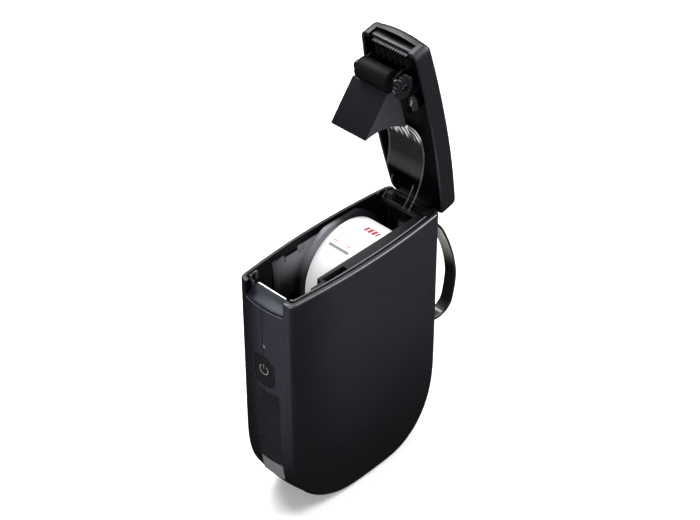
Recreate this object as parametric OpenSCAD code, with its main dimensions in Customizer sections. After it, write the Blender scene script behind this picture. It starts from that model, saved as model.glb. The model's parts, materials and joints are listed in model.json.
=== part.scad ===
// Pocket label printer with its lid open, standing on its rounded base.
// Millimetres. Origin at the middle of the base flat, front face towards -Y, +Z up.

/* [Body] */
// Depth of the body from front face to back face
body_depth = 76; // [74:0.5:82]
// Thickness of the body at its widest place
body_width = 29.1; // [28.5:0.1:33]
// Height of the body from base to rim
body_height = 99.5; // [97:0.5:110]
// How much thinner the half body is at its front and back than in the middle
side_bulge = 2.33; // [1.6:0.01:2.5]
// How far the front face bows forward
front_bulge = 2; // [1.4:0.1:2.4]
// How far the back face bows backward
back_bulge = 1; // [0.6:0.1:1.4]
// Radius of the rounded body edges
edge_round = 3; // [2.6:0.1:3.4]
// Height at which the straight walls turn into the rounded bottom
shoulder_height = 37; // [34:0.5:40]
// Power of the rounded bottom's curve
base_power = 2.8; // [2.6:0.1:3]
// Depth of the flat strip that the body stands on
base_flat = 14; // [12:0.5:18]
// Place of the base's middle, from the body's middle towards the back
base_offset = 1.5; // [0.5:0.1:2.5]
// Wall of the two body shells
wall = 1.8; // [1.5:0.1:2]
// Gap of the seam between the two body shells
seam_gap = 0.1; // [0.06:0.02:0.16]
// Sideways place of the seam between the two body shells
seam_x = -0.4; // [-0.6:0.1:-0.2]

/* [Lid] */
// Height of the closed lid above the rim
lid_height = 8; // [7.8:0.1:9]
// Gap between the rim and the closed lid
lid_gap = 0.3; // [0.25:0.05:0.5]
// Wall of the lid cover
lid_wall = 1.6; // [1.4:0.1:1.8]
// Radius of the lid's upper edge
lid_round = 2.4; // [1.8:0.1:2.8]
// How far the lid stands open
lid_open = 77; // [60:1:80]
// Distance of the hinge axis from the back face
hinge_inset = 1.6; // [1.5:0.05:1.9]
// Depth of the hinge axis below the rim
hinge_drop = 2; // [1.9:0.05:2.3]
// Diameter of the hinge pin
pin_d = 1.4; // [1.2:0.1:1.6]
// Diameter of the hinge barrel
barrel_d = 3; // [2.8:0.1:3.2]
// Length of the hinge barrel on the lid
barrel_length = 14.4; // [12:0.2:15]
// Thickness of the two hinge lugs on the body
lug_t = 2.6; // [2:0.1:2.8]
// Thickness of the plate inside the lid
lid_plate = 1.1; // [0.9:0.1:1.4]
// Number of teeth on the tear blade
blade_teeth = 14; // [10:1:18]

/* [Label roll] */
// Diameter of the label roll
roll_d = 38.8; // [34:0.2:39.6]
// Width of the label roll
roll_width = 14.4; // [13:0.1:14.8]
// Diameter of the roll's core
core_d = 12.8; // [10:0.2:16]
// Wall of the core tube
core_wall = 1; // [0.8:0.1:1.4]
// Distance of the roll's axis from the back face
roll_inset = 27; // [26.6:0.1:28]
// Depth of the roll's axis below the rim
roll_drop = 21.1; // [20.6:0.1:22]
// Sideways offset of the paper path from the body's middle
path_offset = -2.4; // [-2.6:0.1:-2.2]
// Inner radius of the clear roll guard in the lid
guard_r = 23.4; // [22.9:0.1:23.6]
// Thickness of the clear roll guard
guard_t = 0.9; // [0.7:0.1:1]

/* [Feed] */
// Diameter of the rubber feed roller
platen_d = 7.8; // [7:0.1:8]
// Length of the rubber feed roller
platen_length = 13.5; // [12:0.1:13.7]
// Distance of the feed roller's axis from the front face
platen_inset = 11; // [10.6:0.1:11.4]
// Depth of the closed feed roller's axis below the rim
platen_drop = 5.5; // [5.3:0.1:5.8]
// Diameter of the feed roller's shaft
shaft_d = 2.4; // [2:0.1:2.6]
// Module of the gear teeth
gear_module = 0.42; // [0.4:0.01:0.44]
// Width of the gears
gear_face = 1.9; // [1.6:0.1:2.2]
// Teeth of the feed roller's gear
platen_teeth = 18; // [17:1:20]
// Teeth of the drive gear
drive_teeth = 24; // [22:1:24]
// Teeth of the idler gear
idler_teeth = 20; // [18:1:22]
// Teeth of the motor's pinion
pinion_teeth = 12; // [12:1:14]
// Diameter of the gear axles and the motor's shaft
axle_d = 1.5; // [1.2:0.1:1.6]
// Diameter of the feed motor
motor_d = 13; // [11:0.5:14]
// Length of the print head's ceramic strip
head_length = 12.9; // [11.5:0.1:13.4]

/* [Front] */
// Width of the power button
button_width = 9.2; // [8:0.1:10]
// Height of the power button
button_height = 12.7; // [11:0.1:14]
// Radius of the power button's corners
button_round = 3.1; // [2.6:0.1:4]
// Depth of the power button's middle below the rim
button_drop = 33.5; // [32.5:0.5:36]
// Travel of the power button
button_travel = 0.5; // [0.3:0.05:0.5]
// Depth of the status light below the rim
light_drop = 22.8; // [21.5:0.1:23.5]
// Diameter of the status light's window
light_d = 1.6; // [1.2:0.1:2]
// Width of the notch for the paper exit
notch_width = 17.5; // [16.5:0.1:18]
// Depth of the notch for the paper exit
notch_drop = 6.6; // [6.2:0.1:6.8]
// Width of the film on the front face
film_width = 8; // [6:0.5:9]
// Height of the film on the front face
film_height = 35; // [25:1:36]

/* [Strap] */
// Width of the carry strap
strap_width = 5; // [4:0.2:6]
// Thickness of the carry strap
strap_t = 1.5; // [1.2:0.1:1.7]

/* [Electronics] */
// Thickness of the battery
battery_t = 9.6; // [7:0.2:9.8]
// Length of the battery
battery_length = 36; // [30:1:40]
// Height of the battery
battery_height = 38; // [30:1:40]
// Thickness of the circuit boards
board_t = 1; // [0.8:0.1:1.2]
// Side of the main board towards the battery, from the body's middle
board_x = 4; // [3.4:0.1:4.6]

/* [Hidden] */
$fn = 48;

// Clearances
fit = 0.05;          // running fit of a shaft in its bore
press = 0.01;        // fixed pin or shaft in its bore
seat = 0.1;          // between pieces that are seated on each other
free = 0.3;          // between pieces that move past each other
cut = 1;             // how far a cut runs past the face that it opens

// Main faces and axes
front_y = -body_depth / 2;
back_y = body_depth / 2;
rim_z = body_height;
hinge_y = back_y - hinge_inset;
hinge_z = rim_z - hinge_drop;
roll_y = back_y - roll_inset;
roll_z = rim_z - roll_drop;
platen_y = front_y + platen_inset;
platen_z = rim_z - platen_drop;
lid_bottom = rim_z + lid_gap;
lid_top = rim_z + lid_height;
plate_top = lid_top - lid_wall - seat;
plate_bottom = plate_top - lid_plate;
exit_height = 4.2;
exit_top = rim_z + exit_height;
hinge_reach = barrel_length / 2 + free + lug_t;

// Rounded bottom: a superellipse in side view, cut off at the base flat
flat_share = base_flat / body_depth;
base_drop = shoulder_height / pow(1 - pow(flat_share, base_power), 1 / base_power);
first_angle = acos(pow(shoulder_height / base_drop, base_power / 2));
bottom_steps = 10;
face_steps = 3;
corner_steps = 4;
side_steps = 8;
least_round = 0.4;

// Paper path: bay for the roll, between its left wall and the right ledge
bay_left = path_offset - roll_width / 2 - free;
bay_right = path_offset + roll_width / 2 + free;
bay_wall = 1.4;
roll_r = roll_d / 2;
trough_r = roll_r + free;
ledge_drop = 2.7;
ledge_t = 1.6;
pocket_reach = 4.7;
lip_groove = 0.9;
lip_t = 0.7;
lip_drop = 0.4;
disc_drop = 0.8;
disc_rim = 2;
left_wall_gap = 8;
ledge_top = rim_z - ledge_drop;
ledge_low = ledge_top - ledge_t;
trough_out = trough_r + bay_wall;
trough_depth = 6;
bay_back = hinge_y - barrel_d;

// Feed roller, gears and their places across the body
cheek_t = 1.1;
thin_cheek_t = 0.8;
roller_gap = 0.2;
roller_shift = 0.65;
gear_gap = 0.25;
shaft_end = 0.2;
platen_r = platen_d / 2;
platen_left = path_offset + roller_shift - platen_length / 2;
platen_right = platen_left + platen_length;
cheek_left = platen_left - roller_gap - thin_cheek_t;
cheek_right = platen_right + roller_gap;
shaft_left = wall + free - half_width(platen_y);
wedge_left = shaft_left;
wedge_right = bay_right - 2 * seat;
room_left = wedge_left - free - seat;
left_wall_front = platen_y + left_wall_gap;
gear_x = half_width(platen_y - gear_module * (platen_teeth / 2 + 1)) - wall - gear_gap - gear_face;
bush_d = 3.4;
bush_length = 1.2;
bracket_t = 1.2;
bracket_x = bay_right + seat;
tooth_gap = 0.2;
drive_angle = -78;
idler_angle = -80;
pinion_angle = -90;
drive_reach = gear_module * (platen_teeth + drive_teeth) / 2 + 2 * gear_module + tooth_gap;
drive_y = platen_y + drive_reach * cos(drive_angle);
drive_z = platen_z + drive_reach * sin(drive_angle);
idler_reach = gear_module * (drive_teeth + idler_teeth) / 2;
idler_y = drive_y + idler_reach * cos(idler_angle);
idler_z = drive_z + idler_reach * sin(idler_angle);
pinion_reach = gear_module * (idler_teeth + pinion_teeth) / 2;
pinion_y = idler_y + pinion_reach * cos(pinion_angle);
pinion_z = idler_z + pinion_reach * sin(pinion_angle);
idler_phase = mesh_phase(0, drive_teeth, idler_teeth, idler_angle);
pinion_phase = mesh_phase(idler_phase, idler_teeth, pinion_teeth, pinion_angle);

// Print head, in front of the closed feed roller
head_t = 0.7;
head_gap = 0.25;
head_drop = 3.3;
head_height = 9.7;
head_shift = 0.6;
head_left = path_offset + head_shift - head_length / 2;
head_right = head_left + head_length;
head_face = platen_y - platen_r - head_gap;
head_back = head_face - head_t;
head_top = rim_z - head_drop;
head_bottom = head_top - head_height;
sink_t = 1.15;
sink_height = 8.9;
sink_back = head_back - sink_t;
sink_top = rim_z - notch_drop - 5 * seat;
sink_bottom = sink_top - sink_height;
beam_t = 2;
beam_top = sink_bottom - seat;
beam_back = platen_y + 1;
bay_floor = [[roll_y - trough_r, roll_z - trough_depth], [beam_back, beam_top - beam_t],
    [beam_back, beam_top], [roll_y - trough_r, roll_z - trough_depth + beam_t]];

// Lid catches, their slots in the ledge, and the notch beside the paper path
catch_size = [1.5, 3.6];
catch_play = 0.45;
catch_slot = 10;
catch_side = 1.85;
catch_inset = 13.4;
catch_y = platen_y + catch_inset;
catch_left = wall + free - half_width(catch_y - catch_size[1] / 2);
catch_spans = [[bay_right + catch_side, bay_right + catch_side + catch_size[0]],
    [catch_left, wedge_left - seat]];
ledge_notch = [2.2, 6];
ledge_notch_gap = 3.4;
ledge_notch_back = catch_y - ledge_notch_gap;

// Paper exit tray in side view: its wall, and how far its bends lie from the front and the tray's floor
tray_t = 1.4;
tray_rise = 2;
tray_lower_bend = [1.6, 0.25];
tray_upper_bends = [[2.6, 2.1], [0.8, 1.5]];

// Tear bar, its blade and the ribs behind it, in the lid's paper exit
tear_bar = [front_y + 1.7, front_y + 2.9];
tear_bar_rise = 1.4;
blade_t = 0.5;
blade_front = tear_bar[1] + seat / 2;
rib_count = 6;
rib_pitch = 2.6;
rib_t = 0.9;
rib_rise = 0.4;
rib_front = blade_front + blade_t + seat / 2;
rib_back = rib_front + 1.5;

// Guide wedge in side view: its nose, its upper line and the point that its front plate leans to
wedge_nose_drop = 0.4;
wedge_nose = [roll_y - guard_r, roll_z - wedge_nose_drop];
wedge_back = [15.6, 2.7];
wedge_middle = [12, 3];
wedge_front = [5.2, 4];
wedge_lean = [2.7, 1.4];
wedge_line = [[roll_y - wedge_back[0], rim_z - wedge_back[1]],
    [platen_y + wedge_middle[0], rim_z - wedge_middle[1]],
    [platen_y + wedge_front[0], rim_z - wedge_front[1]]];
wedge_post = [3, 9];
wedge_post_side = [2.4, 4];
wedge_post_inset = 7;
wedge_post_drop = 4.5;

// Button group behind the front face
button_z = rim_z - button_drop;
light_z = rim_z - light_drop;
front_inside = front_y + wall;
flange_front = front_inside + 0.6;
flange_t = 0.7;
flange_rim = 0.7;
switch_front = flange_front + flange_t + button_travel + seat;
plunger_t = 0.3;
switch_t = 0.8;
small_board_front = switch_front + plunger_t + switch_t;
small_board_half = 8;
small_board_margin = [9.5, 3];
small_board_bottom = button_z - small_board_margin[0];
small_board_top = light_z + small_board_margin[1];
led = [1.6, 0.7, 1];

// Film on the front face, just right of the seam and below the button
film_left = -0.5;
film_drop = 42;
film_top = rim_z - film_drop;
film_glue = 0.02;
tab_height = 8;

// Strap: hand-chosen middle line, as distance behind the back face and depth below the rim
strap_route = [[-3, -11.2], [0, -11.2], [4, -12.2], [8.4, -15.6], [12.2, -20.2], [16.6, -29.6],
    [19.4, -38.4], [20.4, -46.4], [18.8, -55.8], [16.6, -58.8], [13.4, -60.2], [9.6, -60],
    [5, -59.2], [0, -59], [-3, -59]];
strap_steps = 4;
strap_slot = 0.25;
anchor = [8, 2, 3.4];

// Electronics in the lower body
battery_stand = 2;
battery_inset = 14;
battery_left = -body_width / 2 + wall + battery_stand;
battery_front = front_y + battery_inset;
battery_gap = 2;
battery_bottom = roll_z - trough_out - battery_gap - battery_height;
board_front_inset = 8.5;
board_back_inset = 7.5;
board_gap = 2;
board_front = front_y + board_front_inset;
board_back = back_y - board_back_inset;
board_bottom = 22;
board_top = roll_z - trough_out - board_gap;
chips = [[21.5, 14, 7, 1.1], [35.5, 8, 5, 1], [41.5, 22, 4, 1.4], [11.5, 8, 4.4, 0.9]];
board_plug = [2.6, 8, 4];
board_plug_place = [13.5, 1];
boss_d = 4.2;
screw_d = 1.4;
screw_head_d = 2.8;
screw_head_t = 0.9;
screw_length = 4.5;
boss_inset = 4;
boss_places = [[board_front + boss_inset, board_bottom + boss_inset],
    [board_front + boss_inset, board_top - boss_inset],
    [board_back - 3 * boss_inset, board_top - boss_inset]];
usb = [3.2, 7.4, 9];
usb_rise = 8;
usb_z = board_bottom + usb_rise;
usb_skin = 0.35;
usb_tongue = [0.7, 1.2];

// Half thickness of the body at a place along its depth
function half_width(y) = body_width / 2 - side_bulge * pow(2 * y / body_depth, 2);

// Right half of a level outline, from the front's middle to the back's middle
function outline_half(front, back, inset, rx, ry) =
    let (wide_front = half_width(front) - inset,
        wide_back = half_width(back) - inset,
        turn_front = front + front_bulge * pow(1 - rx / wide_front, 2) + ry,
        turn_back = back - back_bulge * pow(1 - rx / wide_back, 2) - ry,
        x_front = half_width(turn_front) - inset - rx,
        x_back = half_width(turn_back) - inset - rx)
    concat(
        [for (i = [0 : face_steps - 1])
            let (x = x_front * i / face_steps) [x, front + front_bulge * pow(x / wide_front, 2)]],
        [for (i = [0 : corner_steps])
            let (a = -90 + 90 * i / corner_steps) [x_front + rx * cos(a), turn_front + ry * sin(a)]],
        [for (i = [1 : side_steps - 1])
            let (y = turn_front + (turn_back - turn_front) * i / side_steps)
            [half_width(y) - inset, y]],
        [for (i = [0 : corner_steps])
            let (a = 90 * i / corner_steps) [x_back + rx * cos(a), turn_back + ry * sin(a)]],
        [for (i = [face_steps - 1 : -1 : 0])
            let (x = x_back * i / face_steps) [x, back - back_bulge * pow(x / wide_back, 2)]]);

// Whole level outline from its right half
function outline(half) =
    concat(half, [for (i = [len(half) - 2 : -1 : 1]) [-half[i][0], half[i][1]]]);

// Outline of the straight walls, drawn in by an inset
function plan(inset) =
    let (r = max(edge_round - inset, least_round))
    outline(outline_half(front_y + inset, back_y - inset, inset, r, r));

// One ring of the rounded bottom at an angle of its curve
function bottom_ring(angle, inset) =
    let (reach = pow(sin(angle), 2 / base_power),
        front = base_offset - (base_offset - front_y - inset) * reach,
        back = base_offset + (back_y - inset - base_offset) * reach,
        height = shoulder_height - (base_drop - inset) * pow(cos(angle), 2 / base_power),
        lowest = inset * shoulder_height / base_drop,
        r = max(edge_round - inset, least_round),
        rise = max(0, min(height - lowest, r)),
        drawn_in = r - sqrt(r * r - (r - rise) * (r - rise)),
        rx = max(r - drawn_in, least_round),
        steep = angle > 89 ? 100 : base_drop / back_y * pow(tan(angle), 2 - 2 / base_power),
        slope = steep / sqrt(1 + steep * steep),
        ry = min(r / slope, 0.42 * (back - front)) * rx / r)
    [for (p = outline(outline_half(front, back, inset + drawn_in, rx, ry))) [p[0], p[1], height]];

function raised(points, z) = [for (p = points) [p[0], p[1], z]];

// Angle of a gear's first tooth so that it meshes with its neighbour
function mesh_phase(phase, teeth, other_teeth, direction) =
    direction + 180 + 180 / other_teeth - (phase - direction) * teeth / other_teeth;

// Smooth point between the second and third of four route points
function route_point(a, b, c, d, t) =
    0.5 * (2 * b + (c - a) * t + (2 * a - 5 * b + 4 * c - d) * t * t
    + (3 * b - a - 3 * c + d) * t * t * t);

// Solid through a stack of rings with equal numbers of points
module loft(rings) {
    n = len(rings[0]);
    last = len(rings) - 1;
    polyhedron(
        points = [for (r = rings) each r],
        faces = concat(
            [[for (i = [0 : n - 1]) i]],
            [[for (i = [n - 1 : -1 : 0]) last * n + i]],
            [for (k = [0 : last - 1], i = [0 : n - 1])
                let (j = (i + 1) % n) [k * n + i, (k + 1) * n + i, (k + 1) * n + j]],
            [for (k = [0 : last - 1], i = [0 : n - 1])
                let (j = (i + 1) % n) [k * n + i, (k + 1) * n + j, k * n + j]]));
}

// Whole outside of the body, drawn in by an inset, up to a height
module body_blank(inset, top) {
    loft(concat(
        [for (k = [0 : bottom_steps])
            bottom_ring(first_angle + (90 - first_angle) * k / bottom_steps, inset)],
        [raised(plan(inset), top)]));
}

// Outside of the closed lid
module lid_blank() {
    steps = 4;
    loft(concat(
        [raised(plan(0), lid_bottom)],
        [for (k = [0 : steps])
            let (a = 90 * k / steps)
            raised(plan(lid_round * (1 - cos(a))), lid_top - lid_round * (1 - sin(a)))]));
}

module plan_slab(inset, low, high) {
    translate([0, 0, low])
        linear_extrude(high - low)
            polygon(plan(inset));
}

module box(x, y, z) {
    translate([x[0], y[0], z[0]])
        cube([x[1] - x[0], y[1] - y[0], z[1] - z[0]]);
}

// Side-view outline, drawn as depth and height, given a thickness across the body
module across(x_low, x_high) {
    translate([x_low, 0, 0])
        rotate([90, 0, 90])
            linear_extrude(x_high - x_low)
                children();
}

module rod(x_low, x_high, y, z, r) {
    translate([x_low, y, z])
        rotate([0, 90, 0])
            cylinder(r = r, h = x_high - x_low);
}

// Rod along the depth
module bolt(y_low, y_high, x, z, r) {
    translate([x, y_low, z])
        rotate([-90, 0, 0])
            cylinder(r = r, h = y_high - y_low);
}

// Upright block with round corners, along the depth; the margin is added all round the button's outline
module button_block(margin, y_low, y_high) {
    r = button_round + margin;
    half = button_width / 2 + margin;
    reach = button_height / 2 + margin;
    box([-half, half], [y_low, y_high], [button_z - reach + r, button_z + reach - r]);
    box([r - half, half - r], [y_low, y_high], [button_z - reach, button_z + reach]);
    for (x = [r - half, half - r])
        for (z = [r - reach, reach - r])
            bolt(y_low, y_high, x, button_z + z, r);
}

// Sector about the roll's axis, across the body
module roll_sector(from, to, x_low, x_high) {
    reach = 2 * guard_r;
    across(x_low, x_high)
        polygon(concat([[roll_y, roll_z]],
            [for (a = [from, (from + to) / 2, to]) [roll_y + reach * cos(a), roll_z + reach * sin(a)]]));
}

// Swings the closed lid to where it stands open
module lid_pose() {
    translate([0, hinge_y, hinge_z])
        rotate([-lid_open, 0, 0])
            translate([0, -hinge_y, -hinge_z])
                children();
}

// Gear with involute teeth across the body, its first tooth at a given angle
module gear(teeth, y, z, phase, bore) {
    pressure = 20;
    slack = 0.12;
    pitch_r = gear_module * teeth / 2;
    base_r = pitch_r * cos(pressure);
    root_r = pitch_r - 1.2 * gear_module;
    tip_r = pitch_r + 0.9 * gear_module;
    start_r = max(base_r, root_r);
    inv = tan(pressure) * 180 / PI - pressure;
    flank = 3;
    function half_tooth(r) =
        let (a = acos(min(1, base_r / r)))
        90 / teeth * (1 - slack) + inv - (tan(a) * 180 / PI - a);
    function polar(r, a) = [r * cos(a), r * sin(a)];
    translate([gear_x, y, z])
        rotate([90, 0, 90])
            difference() {
                linear_extrude(gear_face)
                    polygon([for (i = [0 : teeth - 1])
                        let (mid = phase + 360 * i / teeth)
                        each concat(
                            [polar(root_r, mid - half_tooth(start_r))],
                            [for (k = [0 : flank])
                                let (r = start_r + (tip_r - start_r) * k / flank)
                                polar(r, mid - half_tooth(r))],
                            [for (k = [flank : -1 : 0])
                                let (r = start_r + (tip_r - start_r) * k / flank)
                                polar(r, mid + half_tooth(r))],
                            [polar(root_r, mid + half_tooth(start_r))])]);
                translate([0, 0, -cut])
                    cylinder(d = bore, h = gear_face + 2 * cut);
            }
}

// Openings in the two body shells
module shell_cuts() {
    notch_low = rim_z - notch_drop - seat;
    box([-notch_width / 2 - seat, notch_width / 2 + seat], [front_y - cut, front_inside + 2],
        [notch_low, rim_z + cut]);
    button_block(seat, front_y - cut, front_inside + cut);
    bolt(front_y - cut, front_inside + cut, 0, light_z, light_d / 2 + seat);
    for (end = [strap_route[1], strap_route[len(strap_route) - 2]])
        box([-strap_width / 2 - strap_slot, strap_width / 2 + strap_slot],
            [back_y - wall - back_bulge - cut, back_y + cut],
            [rim_z + end[1] - strap_t / 2 - strap_slot, rim_z + end[1] + strap_t / 2 + strap_slot]);
    box([board_x + board_t - strap_slot, board_x + board_t + usb[0] + strap_slot],
        [back_y - wall - 2 * cut, back_y + cut],
        [usb_z - usb[2] / 2 - strap_slot, usb_z + usb[2] / 2 + strap_slot]);
    box([-hinge_reach - seat, hinge_reach + seat], [hinge_y - barrel_d, back_y + cut],
        [hinge_z - barrel_d / 2 - free, rim_z + cut]);
    difference() {
        box([-body_width, body_width], [hinge_y, back_y + cut], [hinge_z, rim_z + cut]);
        rod(-body_width, body_width, hinge_y, hinge_z, hinge_drop - seat);
    }
}

module case_wall() {
    difference() {
        body_blank(0, rim_z);
        body_blank(wall, rim_z + cut);
    }
}

// Seats inside the left shell that the battery is glued to
module battery_ribs() {
    rib = 1.6;
    intersection() {
        body_blank(wall / 2, rim_z);
        for (share = [0.15, 0.5, 0.85])
            box([-body_width / 2, battery_left - seat],
                [battery_front, battery_front + battery_length],
                [battery_bottom + share * battery_height - rib / 2,
                    battery_bottom + share * battery_height + rib / 2]);
    }
}

// Posts inside the right shell that carry the main board
module board_bosses() {
    intersection() {
        body_blank(wall / 2, rim_z);
        for (place = boss_places)
            difference() {
                rod(board_x + board_t, body_width / 2, place[0], place[1], boss_d / 2);
                rod(board_x, board_x + board_t + screw_length, place[0], place[1],
                    screw_d / 2 + press);
            }
    }
}

// Grooves inside the front wall that hold the small board
module board_rails(side) {
    rail = 1.2;
    intersection() {
        body_blank(wall / 2, rim_z);
        for (z = [small_board_bottom + rail, small_board_top - rail])
            box([side * small_board_half - rail, side * small_board_half + rail],
                [front_y, small_board_front - seat / 2], [z - rail / 2, z + rail / 2]);
    }
}

module left_shell() {
    color([0.13, 0.13, 0.14])
        intersection() {
            box([-body_width, seam_x - seam_gap / 2], [front_y - cut, back_y + cut], [-cut, rim_z + cut]);
            difference() {
                union() {
                    case_wall();
                    battery_ribs();
                    board_rails(-1);
                }
                shell_cuts();
            }
        }
}

module right_shell() {
    color([0.13, 0.13, 0.14])
        intersection() {
            box([seam_x + seam_gap / 2, body_width], [front_y - cut, back_y + cut], [-cut, rim_z + cut]);
            difference() {
                union() {
                    case_wall();
                    board_bosses();
                    board_rails(1);
                }
                shell_cuts();
            }
        }
}

// Ledge, lip, side walls, trough and head beam before their cuts
module frame_blank() {
    wall_left = bay_left - bay_wall;
    plan_slab(wall + seat, ledge_low, ledge_top);
    difference() {
        plan_slab(wall + lip_groove, ledge_low, rim_z - lip_drop);
        plan_slab(wall + lip_groove + lip_t, ledge_low - cut, rim_z + cut);
        box([-body_width, bay_right], [front_y, back_y], [ledge_low - cut, rim_z + cut]);
    }
    difference() {
        rod(wall_left, bay_right + bay_wall, roll_y, roll_z, trough_out);
        box([-body_width, body_width], [front_y, back_y], [roll_z, roll_z + roll_d]);
    }
    box([-body_width, room_left], [left_wall_front, bay_back], [roll_z, ledge_top]);
    box([bay_right, bay_right + bay_wall], [roll_y - trough_out, bay_back], [roll_z, ledge_top]);
    box([wall_left, bracket_x - seat / 2], [sink_back, beam_back], [beam_top - beam_t, beam_top]);
    across(wall_left, bracket_x - seat / 2)
        polygon(bay_floor);
}

// Lug on the body that holds one end of the hinge pin
module hinge_lug(x_low) {
    rod(x_low, x_low + lug_t, hinge_y, hinge_z, barrel_d / 2);
    box([x_low, x_low + lug_t], [hinge_y - barrel_d, hinge_y],
        [hinge_z - barrel_d / 2, hinge_z + barrel_d / 2]);
}

// Round cheek of the bay beside the left end of the roll
module roll_disc() {
    intersection() {
        plan_slab(wall + seat, roll_z - roll_d, rim_z - disc_drop);
        rod(room_left - seat, bay_left, roll_y, roll_z, trough_r + disc_rim);
    }
}

// Roll bay: ledge and lip under the rim, side walls, trough, head beam and hinge lugs
module inner_frame() {
    pocket_back = platen_y + pocket_reach;
    pocket_right = gear_x + gear_face + shaft_end + free;
    tray_back = head_back - cut;
    color([0.2, 0.2, 0.21])
        union() {
            difference() {
                union() {
                    intersection() {
                        plan_slab(wall + seat, roll_z - roll_d, rim_z);
                        frame_blank();
                    }
                    hinge_lug(-hinge_reach);
                    hinge_lug(hinge_reach - lug_t);
                }
                rod(bay_left, bay_right, roll_y, roll_z, trough_r);
                across(room_left, bay_right)
                    polygon([bay_floor[3], bay_floor[2], [beam_back, rim_z + cut],
                        [bay_back - cut, rim_z + cut], [bay_back - cut, roll_z], [roll_y, roll_z]]);
                box([room_left, bay_right], [front_y, beam_back + cut], [beam_top, rim_z + cut]);
                box([room_left, pocket_right], [tray_back, pocket_back], [ledge_low - cut, rim_z + cut]);
                box([-body_width, bay_right + 2 * bay_wall], [front_y, sink_back], [roll_z, rim_z + cut]);
                box([-notch_width / 2 - seat, notch_width / 2 + seat], [front_y, tray_back],
                    [rim_z - notch_drop - 2 * seat, rim_z + cut]);
                box([-body_width, room_left + cut], [front_y, left_wall_front], [roll_z, rim_z + cut]);
                box([-hinge_reach + lug_t, hinge_reach - lug_t], [bay_back, back_y],
                    [hinge_z - barrel_d / 2 - free - cut, rim_z + cut]);
                catch_cuts();
                rod(-body_width, body_width, hinge_y, hinge_z, pin_d / 2 + press);
                difference() {
                    box([-body_width, body_width], [hinge_y, back_y + cut], [hinge_z, rim_z + cut]);
                    rod(-body_width, body_width, hinge_y, hinge_z, barrel_d / 2);
                }
            }
            roll_disc();
        }
}

module catch_cuts() {
    front = catch_y - catch_size[1] / 2 - 2 * free;
    for (span = catch_spans)
        box([span[0] - catch_play, span[1] + catch_play], [front, front + catch_slot],
            [ledge_low - cut, rim_z + cut]);
    box([bay_right - cut, bay_right + ledge_notch[0]],
        [ledge_notch_back - ledge_notch[1], ledge_notch_back], [ledge_low - cut, rim_z + cut]);
}

module paper_exit_tray() {
    low = rim_z - notch_drop;
    back = head_back - seat;
    color([0.35, 0.37, 0.4, 0.6])
        intersection() {
            plan_slab(0, low - cut, rim_z);
            across(-notch_width / 2, notch_width / 2)
                polygon(concat(
                    [[front_y - cut, low], [front_y, low] + tray_lower_bend, [back, low + tray_rise],
                        [back, low + tray_rise + tray_t]],
                    [for (bend = tray_upper_bends) [front_y, low] + bend],
                    [[front_y - cut, low + tray_t]]));
        }
}

module print_head() {
    color("white")
        box([head_left, head_right], [head_back, head_face], [head_bottom, head_top]);
}

module head_heatsink() {
    color("silver")
        box([head_left, head_right], [sink_back, head_back], [sink_bottom, sink_top]);
}

// Bent leaf that pushes the print head towards the feed roller
module head_spring() {
    leaf = 0.25;
    half = 2.4;
    front = front_inside + front_bulge / 4;
    low = sink_bottom + 1;
    bend = 2;
    color("gainsboro")
        across(path_offset - half, path_offset + half)
            polygon([[sink_back, low], [sink_back, low + bend], [front + leaf, low + 2 * bend],
                [sink_back, low + 3 * bend], [sink_back, low + 3.7 * bend],
                [sink_back - leaf, low + 3.7 * bend], [sink_back - leaf, low + 3 * bend],
                [front, low + 2 * bend], [sink_back - leaf, low + bend], [sink_back - leaf, low]]);
}

// Light sensor under the paper that finds the gap between labels
module gap_sensor() {
    sensor = [3.2, 1.6, 1.3];
    front = head_face + 2 * free;
    color("dimgray")
        box([path_offset - sensor[0] / 2, path_offset + sensor[0] / 2], [front, front + sensor[1]],
            [beam_top, beam_top + sensor[2]]);
}

module feed_motor() {
    depth = 11.4;
    socket = 1.5;
    color("lightgray")
        difference() {
            rod(bracket_x - depth, bracket_x, pinion_y, pinion_z, motor_d / 2);
            rod(bracket_x - socket, bracket_x + cut, pinion_y, pinion_z, axle_d / 2 + fit);
        }
}

// Plate that carries the motor and the gear axles, at the right end of the roll bay's floor
module gear_bracket() {
    margin = 3;
    top = drive_z + margin;
    bottom = pinion_z - motor_d / 2 + 1;
    front = min(drive_y, idler_y, pinion_y) - margin;
    back = roll_y - trough_out - seat;
    color("darkgray")
        difference() {
            box([bracket_x, bracket_x + bracket_t], [front, back], [bottom, top]);
            rod(bracket_x - cut, bracket_x + 2 * bracket_t, drive_y, drive_z, axle_d / 2 + press);
            rod(bracket_x - cut, bracket_x + 2 * bracket_t, idler_y, idler_z, axle_d / 2 + press);
            rod(bracket_x - cut, bracket_x + 2 * bracket_t, pinion_y, pinion_z, axle_d / 2 + fit);
        }
}

module gear_axles() {
    color("silver") {
        rod(bracket_x, gear_x + gear_face + seat, drive_y, drive_z, axle_d / 2);
        rod(bracket_x, gear_x + gear_face + seat, idler_y, idler_z, axle_d / 2);
    }
}

module motor_pinion() {
    color("goldenrod") {
        gear(pinion_teeth, pinion_y, pinion_z, pinion_phase, axle_d / 2);
        rod(bracket_x - 1.4, gear_x + gear_face, pinion_y, pinion_z, axle_d / 2);
    }
}

module idler_gear() {
    color("whitesmoke")
        gear(idler_teeth, idler_y, idler_z, idler_phase, axle_d + 2 * fit);
}

module drive_gear() {
    color("whitesmoke")
        gear(drive_teeth, drive_y, drive_z, 0, axle_d + 2 * fit);
}

module main_board() {
    color("darkgreen")
        difference() {
            box([board_x, board_x + board_t], [board_front, board_back], [board_bottom, board_top]);
            for (place = boss_places)
                rod(board_x - cut, board_x + board_t + cut, place[0], place[1], screw_d / 2 + seat);
        }
}

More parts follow.
